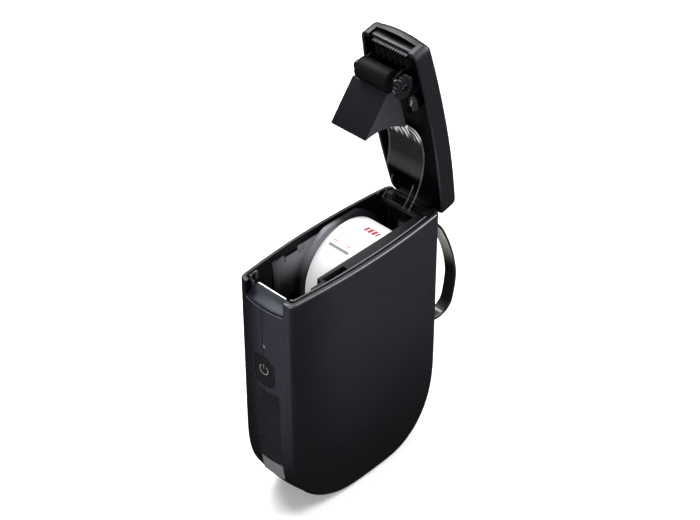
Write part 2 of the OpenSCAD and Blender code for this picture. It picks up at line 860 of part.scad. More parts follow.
// Processor, radio, charger and plug blocks on the main board
module board_chips() {
    color("black") {
        for (chip = chips)
            translate([board_x - chip[3], board_front + chip[0], board_bottom + chip[1]])
                cube([chip[3], chip[2], chip[2]]);
        translate([board_x + board_t, board_front + board_plug_place[0],
                board_top - board_plug_place[1] - board_plug[2]])
            cube(board_plug);
    }
}

module board_screws() {
    color("silver")
        for (place = boss_places) {
            rod(board_x - screw_head_t, board_x, place[0], place[1], screw_head_d / 2);
            rod(board_x, board_x + board_t + screw_length - seat, place[0], place[1], screw_d / 2);
        }
}

module usb_socket() {
    x = board_x + board_t;
    back = back_y - wall / 2;
    color("silver") {
        difference() {
            box([x, x + usb[0]], [back - usb[1], back], [usb_z - usb[2] / 2, usb_z + usb[2] / 2]);
            box([x + usb_skin, x + usb[0] - usb_skin], [back - usb[1] + 2 * usb_skin, back + cut],
                [usb_z - usb[2] / 2 + usb_skin, usb_z + usb[2] / 2 - usb_skin]);
        }
        box([x + usb[0] / 2 - usb_tongue[0] / 2, x + usb[0] / 2 + usb_tongue[0] / 2],
            [back - usb[1] + usb_skin, back - cut],
            [usb_z - usb[2] / 2 + usb_tongue[1], usb_z + usb[2] / 2 - usb_tongue[1]]);
    }
}

// Small board behind the front face with the switch and the status light
module button_board() {
    color("darkgreen")
        box([-small_board_half, small_board_half], [small_board_front, small_board_front + board_t],
            [small_board_bottom, small_board_top]);
}

module power_switch() {
    side = 4.5;
    color("dimgray") {
        box([-side / 2, side / 2], [small_board_front - switch_t, small_board_front],
            [button_z - side / 2, button_z + side / 2]);
        bolt(switch_front, switch_front + plunger_t, 0, button_z, 1);
    }
}

module status_led() {
    color("white")
        translate([-led[0] / 2, small_board_front - led[1], light_z - led[2] / 2])
            cube(led);
}

module led_window() {
    color("lightgray")
        bolt(front_y + seat / 2, small_board_front - led[1] - seat, 0, light_z, light_d / 2);
}

module battery() {
    round_r = 1.5;
    x_high = battery_left + battery_t;
    y_high = battery_front + battery_length;
    z_high = battery_bottom + battery_height;
    color("lightsteelblue")
        across(battery_left, x_high)
            union() {
                for (y = [battery_front + round_r, y_high - round_r])
                    for (z = [battery_bottom + round_r, z_high - round_r])
                        translate([y, z])
                            circle(r = round_r);
                translate([battery_front + round_r, battery_bottom])
                    square([battery_length - 2 * round_r, battery_height]);
                translate([battery_front, battery_bottom + round_r])
                    square([battery_length, battery_height - 2 * round_r]);
            }
}

// Band swept along its route, standing off the back face
module strap() {
    n = len(strap_route);
    line = concat(
        [for (i = [0 : n - 2], k = [0 : strap_steps - 1])
            route_point(strap_route[max(i - 1, 0)], strap_route[i], strap_route[i + 1],
                strap_route[min(i + 2, n - 1)], k / strap_steps)],
        [strap_route[n - 1]]);
    last = len(line) - 1;
    w = strap_width / 2;
    rings = [for (i = [0 : last])
        let (d = line[min(i + 1, last)] - line[max(i - 1, 0)],
            side = [-d[1], d[0]] / norm(d) * strap_t / 2,
            p = [back_y + line[i][0], rim_z + line[i][1]])
        [[-w, p[0] - side[0], p[1] - side[1]], [w, p[0] - side[0], p[1] - side[1]],
            [w, p[0] + side[0], p[1] + side[1]], [-w, p[0] + side[0], p[1] + side[1]]]];
    color([0.08, 0.08, 0.08])
        loft([for (i = [last : -1 : 0]) rings[i]]);
}

// Blocks inside the back wall that hold the strap's two ends
module strap_anchors() {
    inner = back_y + strap_route[0][0] - seat;
    color("dimgray")
        for (end = [strap_route[0], strap_route[len(strap_route) - 1]])
            box([-anchor[0] / 2, anchor[0] / 2], [inner - anchor[1], inner],
                [rim_z + end[1] - anchor[2] / 2, rim_z + end[1] + anchor[2] / 2]);
}

// Thin layer on the front face between two heights
module front_layer(thickness, low, high) {
    difference() {
        intersection() {
            body_blank(-thickness, rim_z);
            box([film_left, film_left + film_width], [front_y - cut, front_y + 3 * front_bulge],
                [low, high]);
        }
        body_blank(-film_glue, rim_z + cut);
    }
}

// Clear film on the front face
module front_film() {
    color([0.25, 0.25, 0.27, 0.7])
        front_layer(0.15, film_top - film_height + tab_height, film_top);
}

// Pull tab at the film's lower end
module film_tab() {
    color([0.55, 0.55, 0.57])
        front_layer(0.2, film_top - film_height, film_top - film_height + tab_height);
}

module hinge_pin() {
    color("silver")
        rod(-hinge_reach, hinge_reach, hinge_y, hinge_z, pin_d / 2);
}

// Cap that follows the bowed front face, with a flange behind the wall
module power_button() {
    proud = 0.2;
    color([0.16, 0.16, 0.17]) {
        intersection() {
            plan_slab(-proud, button_z - button_height, button_z + button_height);
            button_block(0, front_y - cut, flange_front + flange_t);
        }
        button_block(flange_rim, flange_front, flange_front + flange_t);
    }
}

module label_roll() {
    color("white")
        difference() {
            rod(bay_left + free, bay_right - free, roll_y, roll_z, roll_r);
            rod(bay_left, bay_right, roll_y, roll_z, core_d / 2 + press);
        }
}

module roll_core() {
    color("tan")
        difference() {
            rod(bay_left + free, bay_right - free, roll_y, roll_z, core_d / 2);
            rod(bay_left, bay_right, roll_y, roll_z, core_d / 2 - core_wall);
        }
}

module lid_cover() {
    color([0.13, 0.13, 0.14])
        lid_pose()
            difference() {
                lid_blank();
                plan_slab(lid_wall, rim_z - cut, lid_top - lid_wall);
                box([-notch_width / 2, notch_width / 2], [front_y - cut, front_y + front_bulge + lid_wall],
                    [rim_z - cut, exit_top]);
            }
}

// Arm of the lid plate that carries one end of the feed roller
module cheek(x_low, x_high) {
    box([x_low, x_high], [platen_y - bush_d / 2, platen_y + bush_d / 2], [platen_z, plate_top]);
    rod(x_low, x_high, platen_y, platen_z, bush_d / 2);
}

// Plate inside the lid with the hinge barrel, roller cheeks, tear bar and ribs
module lid_frame() {
    web = [hinge_y - 0.8 * barrel_d, back_y - back_bulge - lid_wall - seat];
    pad_reach = 5;
    pad_t = 1.2;
    color([0.1, 0.1, 0.11])
        lid_pose()
            difference() {
                union() {
                    plan_slab(lid_wall + seat, plate_bottom, plate_top);
                    intersection() {
                        box([-notch_width / 2 + seat, notch_width / 2 - seat], tear_bar,
                            [rim_z + tear_bar_rise, plate_top]);
                        union() {
                            plan_slab(0, rim_z, exit_top - seat);
                            plan_slab(lid_wall + seat, rim_z, plate_top);
                        }
                    }
                    for (i = [0 : rib_count - 1])
                        let (x = (i - (rib_count - 1) / 2) * rib_pitch)
                        box([x - rib_t / 2, x + rib_t / 2], [rib_front, rib_back],
                            [rim_z + rib_rise, plate_top]);
                    rod(-barrel_length / 2, barrel_length / 2, hinge_y, hinge_z, barrel_d / 2);
                    box([-barrel_length / 2, barrel_length / 2], web, [hinge_z, plate_top]);
                    box([-barrel_length / 2, barrel_length / 2], [web[0], hinge_y],
                        [hinge_z, hinge_z + barrel_d / 2]);
                    cheek(cheek_left, cheek_left + thin_cheek_t);
                    cheek(cheek_right, cheek_right + cheek_t);
                    for (y = [roll_y - pad_reach, roll_y + pad_reach])
                        box([path_offset - pad_reach, path_offset + pad_reach],
                            [y - pad_t / 2, y + pad_t / 2], [roll_z + guard_r, plate_top]);
                }
                rod(-body_width, body_width, hinge_y, hinge_z, pin_d / 2 + fit);
                rod(-body_width, body_width, platen_y, platen_z, shaft_d / 2 + fit);
                rod(-body_width, body_width, roll_y, roll_z, guard_r + guard_t + seat / 2);
            }
}

// Saw-toothed strip behind the tear bar
module tear_blade() {
    width = notch_width - 2;
    pitch = width / blade_teeth;
    tooth = 1.2;
    root = rim_z + 1.1;
    color("silver")
        lid_pose()
            translate([-width / 2, blade_front + blade_t, 0])
                rotate([90, 0, 0])
                    linear_extrude(blade_t)
                        polygon(concat([[0, plate_bottom], [0, root]],
                            [for (i = [0 : blade_teeth - 1]) each
                                [[(i + 0.5) * pitch, root - tooth], [(i + 1) * pitch, root]]],
                            [[width, plate_bottom]]));
}

// Wedge that leads the paper from the roll to the feed roller
module guide_wedge() {
    arc_steps = 12;
    arc = [181, 132];
    lean = [platen_y + wedge_lean[0], platen_z - wedge_lean[1]] - wedge_nose;
    along = lean / norm(lean);
    to_axis = [platen_y, platen_z] - wedge_nose;
    foot = to_axis * along;
    miss = norm(to_axis - foot * along);
    aim = platen_r + 1.5 * free;
    front_top = wedge_nose + along * (foot - sqrt(aim * aim - miss * miss));
    post_y = platen_y + wedge_post_inset;
    color([0.12, 0.12, 0.13])
        lid_pose() {
            across(wedge_left, wedge_right)
                polygon(concat(
                    [for (i = [0 : arc_steps])
                        let (a = arc[0] + (arc[1] - arc[0]) * i / arc_steps)
                        [roll_y + guard_r * cos(a), roll_z + guard_r * sin(a)]],
                    wedge_line, [front_top]));
            for (x = [wedge_left + wedge_post_side[0], wedge_right - wedge_post_side[1] - wedge_post[0]])
                box([x, x + wedge_post[0]], [post_y, post_y + wedge_post[1]],
                    [rim_z - wedge_post_drop, plate_bottom]);
        }
}

// Clear arc over the roll, with two narrow legs towards the hinge
module roll_guard() {
    leg = 2.6;
    cover = [52, 128];
    leg_end = 30;
    overrun = 10;
    color([0.3, 0.31, 0.33, 0.5])
        lid_pose()
            difference() {
                intersection() {
                    rod(wedge_left, wedge_right, roll_y, roll_z, guard_r + guard_t);
                    roll_sector(leg_end, cover[1], wedge_left, wedge_right);
                }
                rod(wedge_left - cut, wedge_right + cut, roll_y, roll_z, guard_r);
                roll_sector(leg_end - overrun, cover[0], wedge_left - cut, wedge_left + leg / 2);
                roll_sector(leg_end - overrun, cover[0], wedge_left + 1.5 * leg, wedge_right - leg);
            }
}

module lid_catches() {
    low = ledge_top - ledge_t / 2;
    color([0.2, 0.2, 0.21])
        lid_pose()
            for (span = catch_spans)
                box(span, [catch_y - catch_size[1] / 2, catch_y + catch_size[1] / 2],
                    [low, plate_bottom]);
}

module platen_bushes() {
    color("black")
        lid_pose()
            difference() {
                union() {
                    for (x = [cheek_left - seat / 2 - bush_length, cheek_right + cheek_t + seat / 2])
                        rod(x, x + bush_length, platen_y, platen_z, bush_d / 2);
                }
                rod(-body_width, body_width, platen_y, platen_z, shaft_d / 2 + fit);
            }
}

module platen_roller() {
    color([0.24, 0.24, 0.25])
        lid_pose()
            difference() {
                rod(platen_left, platen_right, platen_y, platen_z, platen_r);
                rod(platen_left - cut, platen_right + cut, platen_y, platen_z, shaft_d / 2 + press);
            }
}

module platen_shaft() {
    color("silver")
        lid_pose()
            rod(shaft_left, gear_x + gear_face + shaft_end, platen_y, platen_z, shaft_d / 2);
}

module platen_gear() {
    color([0.25, 0.25, 0.26])
        lid_pose()
            gear(platen_teeth, platen_y, platen_z, 0, shaft_d + 2 * press);
}

left_shell();
right_shell();
inner_frame();
paper_exit_tray();
print_head();
head_heatsink();
head_spring();
gap_sensor();
feed_motor();
gear_bracket();
gear_axles();
motor_pinion();
idler_gear();
drive_gear();
main_board();
board_chips();
board_screws();
usb_socket();
button_board();
power_switch();
status_led();
led_window();
battery();
strap();
strap_anchors();
front_film();
film_tab();
hinge_pin();
power_button();
label_roll();
roll_core();
lid_cover();
lid_frame();
tear_blade();
guide_wedge();
roll_guard();
lid_catches();
platen_bushes();
platen_roller();
platen_shaft();
platen_gear();
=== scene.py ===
"""Looks of a pocket label printer that stands with its lid open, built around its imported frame."""

import json
import logging
import math
from collections.abc import Callable, Sequence
from dataclasses import dataclass, field
from enum import Enum
from typing import ClassVar

import bmesh
import bpy
from mathutils import Matrix, Vector

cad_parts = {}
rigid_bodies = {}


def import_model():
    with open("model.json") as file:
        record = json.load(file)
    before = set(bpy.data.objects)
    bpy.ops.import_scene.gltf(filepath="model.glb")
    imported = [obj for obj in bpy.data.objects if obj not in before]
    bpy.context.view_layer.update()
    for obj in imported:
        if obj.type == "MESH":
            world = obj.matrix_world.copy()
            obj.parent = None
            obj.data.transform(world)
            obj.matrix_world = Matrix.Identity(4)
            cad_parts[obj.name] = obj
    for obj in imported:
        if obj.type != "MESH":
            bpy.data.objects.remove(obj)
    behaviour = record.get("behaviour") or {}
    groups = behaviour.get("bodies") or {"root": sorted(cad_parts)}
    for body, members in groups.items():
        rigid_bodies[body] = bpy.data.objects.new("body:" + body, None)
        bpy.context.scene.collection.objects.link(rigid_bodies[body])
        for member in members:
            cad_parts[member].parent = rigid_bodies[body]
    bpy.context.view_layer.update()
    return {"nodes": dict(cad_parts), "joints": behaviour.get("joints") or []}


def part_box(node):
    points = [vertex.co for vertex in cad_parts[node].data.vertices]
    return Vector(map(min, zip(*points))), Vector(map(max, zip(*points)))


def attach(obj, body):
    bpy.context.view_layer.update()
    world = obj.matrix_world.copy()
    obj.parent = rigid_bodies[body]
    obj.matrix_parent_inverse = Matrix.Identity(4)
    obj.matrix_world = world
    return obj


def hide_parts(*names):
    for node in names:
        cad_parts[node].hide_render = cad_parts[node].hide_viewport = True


for leftover in list(bpy.data.objects):
    bpy.data.objects.remove(leftover)
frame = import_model()

log = logging.getLogger("label_printer")
MM = 0.001
TOUCH = 1e-6
FLAT_ANGLE = math.radians(0.5)
SHARP_ANGLE = math.radians(34)

Span = tuple[float, float]
Point = tuple[float, float, float]
Colour = tuple[float, float, float]
Flat = list[Span]
Ring = list[Point]
Box = tuple[Span, Span, Span]
Surface = Callable[[float, float], Point]
Piece = bpy.types.Object
Face = bpy.types.MeshPolygon


class Body(Enum):
    """CAD bodies that pieces ride on."""

    CASE = "case"
    LID = "lid"
    PLATEN = "platen"
    ROLL = "roll"
    BUTTON = "button"


class Slot(Enum):
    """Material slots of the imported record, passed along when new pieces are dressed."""

    CASE = "case"
    INNER = "inner_plastic"
    SMOKED = "smoked_clear"
    STEEL = "steel"
    LIGHT = "light"
    STRAP = "strap"
    FILM = "film"
    FILM_TAB = "film_tab"
    BUTTON = "button"
    PAPER = "label_paper"
    CORE = "core_board"
    RUBBER = "roller_rubber"
    GEAR = "dark_gear"


class Axis(Enum):
    """Axis that a turned piece is made about, as its place in a point."""

    ACROSS = 0
    DEEP = 1


# Shader graph


@dataclass(frozen=True)
class Signal:
    """A shader socket that takes part in Python expressions."""

    graph: "Graph"
    socket: bpy.types.NodeSocket

    def __add__(self, other: "Value") -> "Signal":
        """Sum of two values."""
        return self.graph.math("ADD", self, other)

    def __radd__(self, other: "Value") -> "Signal":
        """Sum with a number on the left."""
        return self.graph.math("ADD", other, self)

    def __sub__(self, other: "Value") -> "Signal":
        """Difference of two values."""
        return self.graph.math("SUBTRACT", self, other)

    def __rsub__(self, other: "Value") -> "Signal":
        """Difference with a number on the left."""
        return self.graph.math("SUBTRACT", other, self)

    def __mul__(self, other: "Value") -> "Signal":
        """Product of two values."""
        return self.graph.math("MULTIPLY", self, other)

    def __rmul__(self, other: "Value") -> "Signal":
        """Product with a number on the left."""
        return self.graph.math("MULTIPLY", other, self)

    def __lt__(self, other: "Value") -> "Signal":
        """One where this value is the smaller, else zero."""
        return self.graph.math("LESS_THAN", self, other)

    def __gt__(self, other: "Value") -> "Signal":
        """One where this value is the larger, else zero."""
        return self.graph.math("GREATER_THAN", self, other)

    def fraction(self) -> "Signal":
        """Part after the decimal point."""
        return self.graph.math("FRACT", self)

    def band(self, low: float, high: float, soft: float) -> "Signal":
        """Mask that is one between two limits.

        Args:
            low: Lower limit.
            high: Upper limit.
            soft: Width of the change at each limit.

        Returns:
            The mask.
        """
        rise = self.graph.ease(self, low - soft, low + soft)
        fall = self.graph.ease(self, high - soft, high + soft)
        return rise * (1 - fall)


Value = Signal | float | int
Input = Signal | float | int | Sequence[float]


class Graph:
    """Node tree that Python expressions fill."""

    def __init__(self, tree: bpy.types.NodeTree) -> None:
        """Empties a tree.

        Args:
            tree: Tree of a material, of the surroundings or of a mesh tool.
        """
        self.tree = tree
        self.tree.nodes.clear()

    def node(
        self,
        kind: str,
        settings: dict[str, object] | None = None,
        inputs: dict[str | int, Input] | None = None,
        output: str | int = 0,
    ) -> Signal:
        """Adds a node.

        Args:
            kind: Blender's type of the node.
            settings: Properties, set before the inputs.
            inputs: Values or links of the sockets.
            output: Socket that is returned.

        Returns:
            The node's output.
        """
        made = self.tree.nodes.new(kind)
        for key, value in (settings or {}).items():
            setattr(made, key, value)
        for key, value in (inputs or {}).items():
            self.plug(value, made.inputs[key])
        return Signal(self, made.outputs[output])

    def plug(self, value: Input, socket: bpy.types.NodeSocket) -> None:
        """Links a signal to a socket or sets the socket's own value.

        Args:
            value: Signal, number or list of numbers.
            socket: Socket that takes it.
        """
        if isinstance(value, Signal):
            self.tree.links.new(value.socket, socket)
        elif isinstance(value, (int, float)):
            socket.default_value = value
        else:
            size = len(socket.default_value)
            socket.default_value = (*value, 1.0)[:size]

    def end(self, kind: str, result: Signal) -> None:
        """Links a result to the tree's output node."""
        self.tree.links.new(result.socket, self.tree.nodes.new(kind).inputs[0])

    def math(self, operation: str, *values: Value) -> Signal:
        """Adds a Math node for the given values."""
        return self.node("ShaderNodeMath", {"operation": operation}, dict(enumerate(values)))

    def ease(self, value: Signal, low: float, high: float) -> Signal:
        """Smooth change from zero to one between two limits."""
        limits = {"Value": value, "From Min": low, "From Max": high}
        return self.node("ShaderNodeMapRange", {"interpolation_type": "SMOOTHSTEP"}, limits)

    def mix(self, factor: Value, first: Input, second: Input) -> Signal:
        """Mixes two colours."""
        settings = {"data_type": "RGBA", "clamp_factor": True}
        return self.node("ShaderNodeMix", settings, {0: factor, 6: first, 7: second}, 2)

    def vary(self, pattern: Signal, colour: Colour, dark: float, light: float = 1.0) -> Signal:
        """Colour that a pattern moves between two strengths of itself."""
        return self.mix(pattern, shade(colour, dark), shade(colour, light))

    def place(self, scale: Point = (1.0, 1.0, 1.0)) -> Signal:
        """Place on the piece, stretched along the axes."""
        where = self.node("ShaderNodeTexCoord", output="Object")
        if scale == (1.0, 1.0, 1.0):
            return where
        return self.node("ShaderNodeVectorMath", {"operation": "MULTIPLY"}, {0: where, 1: scale})

    def along(self, axis: str) -> Signal:
        """Place along one axis in millimetres."""
        return self.node("ShaderNodeSeparateXYZ", inputs={0: self.place()}, output=axis) * (1 / MM)

    def turn(self, y: Signal, z: Signal) -> Signal:
        """Angle of a place about the axis across the body, in degrees."""
        return self.math("ARCTAN2", z, y) * (180 / math.pi)

    def noise(self, grain: float, detail: float = 2.0, stretch: Point = (1.0, 1.0, 1.0)) -> Signal:
        """Noise pattern.

        Args:
            grain: Size of the pattern in millimetres.
            detail: Octaves.
            stretch: Scale along the axes.

        Returns:
            The pattern, about 0.5 in the middle.
        """
        values = {"Vector": self.place(stretch), "Scale": 1 / (grain * MM), "Detail": detail}
        return self.node("ShaderNodeTexNoise", inputs=values)

    def bump(self, height: Signal, depth: float) -> Signal:
        """Normal of a height pattern, with its depth in millimetres."""
        values = {"Height": height, "Distance": depth * MM, "Strength": 1.0}
        return self.node("ShaderNodeBump", inputs=values)

    def surface(self, inputs: dict[str, Input]) -> None:
        """Ends the tree with a Principled shader."""
        shader = self.node("ShaderNodeBsdfPrincipled", inputs=inputs)
        self.end("ShaderNodeOutputMaterial", shader)


def shade(colour: Colour, factor: float) -> Colour:
    """Colour made darker or lighter."""
    return tuple(min(1.0, part * factor) for part in colour)


# Finishes


@dataclass(frozen=True)
class Finish:
    """A surface finish that becomes one material."""

    name: str
    made: ClassVar[dict[str, bpy.types.Material]] = {}

    def paint(self, graph: Graph) -> None:
        """Fills a material's tree.

        Args:
            graph: The empty tree.
        """
        raise NotImplementedError

    def material(self) -> bpy.types.Material:
        """The finish's material, made at its first use."""
        if self.name not in self.made:
            material = bpy.data.materials.new(self.name)
            material.use_nodes = True
            self.paint(Graph(material.node_tree))
            self.made[self.name] = material
        return self.made[self.name]


@dataclass(frozen=True)
class Moulded(Finish):
    """Moulded plastic with a fine texture and slow changes of tone."""

    colour: Colour
    roughness: float = 0.45
    grain: float = 0.22
    depth: float = 0.012
    specular: float = 0.5
    unevenness: float = 0.12
    cloud: float = 14.0

    def tone(self, graph: Graph, broad: Signal) -> Signal:
        """Base colour with slow changes."""
        return graph.vary(broad, self.colour, 1 - self.unevenness, 1 + self.unevenness)

    def paint(self, graph: Graph) -> None:
        """Fills a material's tree.

        Args:
            graph: The empty tree.
        """
        fine = graph.noise(self.grain, 2.0)
        broad = graph.noise(self.cloud, 3.0)
        graph.surface(
            {
                "Base Color": self.tone(graph, broad),
                "Roughness": self.roughness + (fine - 0.5) * 0.14 + (broad - 0.5) * 0.1,
                "Specular IOR Level": self.specular,
                "Normal": graph.bump(fine, self.depth),
            }
        )


@dataclass(frozen=True)
class ShellPlastic(Moulded):
    """Moulded plastic with painted shade, darker below and at the front's edges, and painted light
    on the front.
    """

    heights: Span = (0.0, 85.0)
    darkest: float = 0.2
    lightest: float = 1.5
    edge_fade: float = 0.75
    front: Span = (-33.5, -27.0)
    left: Span = (-10.5, -1.0)
    side: Span = (10.4, 11.8)
    side_fade: Span = (-36.0, -10.0)
    lit: Span = (-36.9, -36.1)
    lit_x: Span = (-7.0, 1.0)

    def tone(self, graph: Graph, broad: Signal) -> Signal:
        """Base colour with painted shade over the height and around the front's edges, and painted
        light on the front.

        Args:
            graph: The material's tree.
            broad: Slow pattern over the whole piece.

        Returns:
            The colour.
        """
        x, y = graph.along("X"), graph.along("Y")
        rise = graph.ease(graph.along("Z"), *self.heights)
        even = super().tone(graph, broad)
        # Painted shade: darker towards the bottom, at the front's left part and along the right
        # side's front edge.
        corner = (1 - graph.ease(y, *self.front)) * (1 - graph.ease(x, *self.left))
        edge = graph.ease(x, *self.side) * (1 - graph.ease(y, *self.side_fade))
        kept = rise * (1 - corner * self.edge_fade) * (1 - edge * self.edge_fade)
        base = graph.mix(kept, shade(self.colour, self.darkest), even)
        # Painted light on the front, fading out towards its left.
        bright = (1 - graph.ease(y, *self.lit)) * graph.ease(x, *self.lit_x) * rise
        return graph.mix(bright, base, shade(self.colour, self.lightest))


@dataclass(frozen=True)
class SidedPlastic(Moulded):
    """Moulded plastic with painted light on its right side and painted shade towards the bottom."""

    side_x: float = 4.8
    heights: Span = (128.0, 152.0)
    darkest: float = 0.55
    pale: Colour = (0.034, 0.034, 0.038)

    def tone(self, graph: Graph, broad: Signal) -> Signal:
        """Base colour with painted shade towards the bottom, and a flat painted light colour on the
        right side.

        Args:
            graph: The material's tree.
            broad: Slow pattern over the whole piece.

        Returns:
            The colour.
        """
        # Painted shade towards the bottom, then painted light over the whole right side.
        rise = graph.ease(graph.along("Z"), *self.heights)
        dark = shade(self.colour, self.darkest)
        even = graph.mix(rise, dark, super().tone(graph, broad))
        return graph.mix(graph.along("X") > self.side_x, even, self.pale)


@dataclass(frozen=True)
class BayPlastic(Moulded):
    """Moulded plastic of the roll bay, with a painted reflection of the roll that makes the wall
    beside it paler.
    """

    wall_x: float = -9.4
    near_y: Span = (-27.0, -9.0)
    far_y: Span = (4.0, 12.0)
    fade_z: Span = (83.0, 95.0)
    pale: Colour = (0.15, 0.15, 0.163)

    def tone(self, graph: Graph, broad: Signal) -> Signal:
        """Base colour with a painted reflection, paler towards the roll and the top.

        Args:
            graph: The material's tree.
            broad: Slow pattern over the whole piece.

        Returns:
            The colour.
        """
        y = graph.along("Y")
        # Painted reflection of the roll on the bay's left wall, strongest beside the roll and
        # towards the top.
        near = graph.ease(y, *self.near_y) * (1 - graph.ease(y, *self.far_y))
        high = graph.ease(graph.along("Z"), *self.fade_z)
        wall = (graph.along("X") < self.wall_x) * near * high
        return graph.mix(wall, super().tone(graph, broad), self.pale)


@dataclass(frozen=True)
class ClearSheet(Finish):
    """Clear moulded sheet with a painted reflection in a dim glowing band, and painted highlight
    streaks where it turns away.
    """

    colour: Colour
    alpha: float
    glow: float = 0.0
    centre: Span = (0.0, 0.0)
    shine: Span = (0.0, 90.0)
    highlight_weight: float = 0.0
    clear: Span = (-190.0, -185.0)
    reflection_end: Span = (185.0, 190.0)
    reflection_dimming: float = 0.6

    def paint(self, graph: Graph) -> None:
        """Fills a material's tree.

        Args:
            graph: The empty tree.
        """
        turn = graph.turn(graph.along("Y") - self.centre[0], graph.along("Z") - self.centre[1])
        lines = graph.noise(0.5, 3.0, (1.0, 0.03, 0.03))
        fine = graph.noise(1.3, 2.0, (1.0, 0.04, 0.04))
        # Painted highlight: bright emitted streaks where the sheet turns away.
        streak = graph.ease(turn, *self.shine) * graph.ease(fine, 0.46, 0.6) * self.highlight_weight
        # Painted reflection: a band where the sheet shows and glows with its tinted colour, dimmed
        # past its end.
        band = graph.ease(turn, *self.clear) * (1 - graph.ease(turn, *self.reflection_end) * self.reflection_dimming)
        glow = shade(self.colour, self.glow)
        graph.surface(
            {
                "Base Color": graph.vary(lines, self.colour, 0.8),
                "Roughness": 0.08 + lines * 0.1,
                "Specular IOR Level": 0.1,
                "Alpha": self.alpha * (0.3 + lines * 1.4) * band + streak,
                "Emission Color": graph.mix(streak, glow, (1.0, 1.0, 1.0)),
                "Emission Strength": 1.0,
                "Normal": graph.bump(lines, 0.01),
            }
        )


@dataclass(frozen=True)
class TrayPlastic(Finish):
    """Smoky polished plastic with faint drawn lines, and a painted highlight along it at a height.
    """

    tint: Colour
    roughness: float = 0.24
    specular: float = 0.05
    grain: float = 0.8
    lines: Point = (0.15, 1.0, 1.0)
    depth: float = 0.006
    glint_z: tuple[float, float, float, float] = (94.05, 94.55, 95.15, 95.75)
    glint_x: Span = (-6.0, 7.0)
    glint: Colour = (0.04, 0.0435, 0.053)

    def paint(self, graph: Graph) -> None:
        """Fills a material's tree.

        Args:
            graph: The empty tree.
        """
        streak = graph.noise(self.grain, 2.0, self.lines)
        z = graph.along("Z")
        # Painted highlight: a pale band along the tray at one height.
        level = graph.ease(z, *self.glint_z[:2]) * (1 - graph.ease(z, *self.glint_z[2:]))
        pale = level * graph.ease(graph.along("X"), *self.glint_x)
        graph.surface(
            {
                "Base Color": graph.mix(pale, graph.vary(streak, self.tint, 0.85, 1.1), self.glint),
                "Roughness": self.roughness + streak * 0.08,
                "Specular IOR Level": self.specular,
                "IOR": 1.5,
                "Normal": graph.bump(streak, self.depth),
            }
        )


@dataclass(frozen=True)
class Metal(Finish):
    """Drawn or rolled metal with lines along its working direction."""

    colour: Colour
    roughness: float
    lines: Point
    grain: float = 0.12

    def paint(self, graph: Graph) -> None:
        """Fills a material's tree.

        Args:
            graph: The empty tree.
        """
        line = graph.noise(self.grain, 3.0, self.lines)
        cloud = graph.noise(3.0, 3.0)
        graph.surface(
            {
                "Base Color": graph.vary(cloud, self.colour, 0.88, 1.06),
                "Roughness": self.roughness + (line - 0.5) * 0.2 + (cloud - 0.5) * 0.08,
                "Metallic": 1.0,
                "Normal": graph.bump(line, 0.004),
            }
        )


@dataclass(frozen=True)
class Mark:
    """Plain mark on the label tape, in degrees round the roll and millimetres across it."""

    turns: Span
    x: Span
    colour: Colour
    weight: float = 1.0
    soft: Span = (0.15, 0.08)
    dashes: tuple[float, float, float] | None = None

    def mask(self, angle: Signal, x: Signal) -> Signal:
        """Where the mark lies.

        Args:
            angle: Turn round the roll.
            x: Place across it.

        Returns:
            The mask.
        """
        spot = angle.band(*self.turns, self.soft[0]) * x.band(*self.x, self.soft[1])
        if self.dashes:
            rate, shift, share = self.dashes
            spot = spot * ((x * rate + shift).fraction() < share)
        return spot * self.weight


RED_INK = (0.2, 0.008, 0.025)
TAPE_MARKS = (
    Mark((106.1, 107.3), (-6.9, 2.8), (0.03, 0.02, 0.02), 1.0, (0.1, 0.1), (1.25, 0.0, 0.6)),
    Mark((112.2, 114.0), (-6.9, -5.0), RED_INK, 0.85),
    Mark((112.2, 114.0), (-0.9, 0.9), RED_INK, 0.85),
    Mark((76.0, 85.0), (-1.8, 4.2), (0.2, 0.004, 0.016), 0.97, (0.2, 0.08), (0.55, 0.1, 0.72)),
)
SENSE_MARK = Mark((118.2, 121.6), (-7.3, 1.8), (0.008, 0.008, 0.01), 0.95)


@dataclass(frozen=True)
class LabelPaper(Finish):
    """Wound label tape: white face with plain marks, fine layers on the roll's ends, and a glow in
    its own colour that is painted light.
    """

    axis: Span
    radius: float
    edges: Span
    liner: Span = (0.62, 0.8)
    layers: float = 5.5
    end_depth: float = 0.12

    def paint(self, graph: Graph) -> None:
        """Fills a material's tree.

        Args:
            graph: The empty tree.
        """
        x = graph.along("X")
        y, z = graph.along("Y") - self.axis[0], graph.along("Z") - self.axis[1]
        angle = graph.turn(y, z)
        reach = graph.math("SQRT", y * y + z * z)
        fibre = graph.noise(0.5, 4.0)
        cloud = graph.noise(6.0, 3.0)
        paper = graph.mix(cloud, (0.42, 0.42, 0.418), (0.46, 0.46, 0.46))
        for mark in TAPE_MARKS:
            paper = graph.mix(mark.mask(angle, x), paper, mark.colour)
        fade = graph.ease(angle, 118.6, 121.8) * 0.4
        sense = graph.mix(fade, SENSE_MARK.colour, (0.4, 0.4, 0.4))
        paper = graph.mix(SENSE_MARK.mask(angle, x), paper, sense)
        edge = x.band(*(self.edges[0] + place for place in self.liner), 0.04)
        paper = graph.mix(edge * 0.35, paper, (0.4, 0.4, 0.41))
        layer = (reach * self.layers + cloud * 0.5).fraction()
        ends = reach < self.radius - self.end_depth
        face = graph.mix(ends, paper, graph.mix(layer, (0.62, 0.62, 0.6), (0.86, 0.86, 0.85)))
        graph.surface(
            {
                "Base Color": face,
                # Painted light: the tape glows in its own colour, which lifts its shade.
                "Emission Color": face,
                "Emission Strength": 0.95,
                "Roughness": 0.42 + fibre * 0.16 + ends * 0.2,
                "Normal": graph.bump(fibre * 0.3 + layer * ends, 0.02),
            }
        )


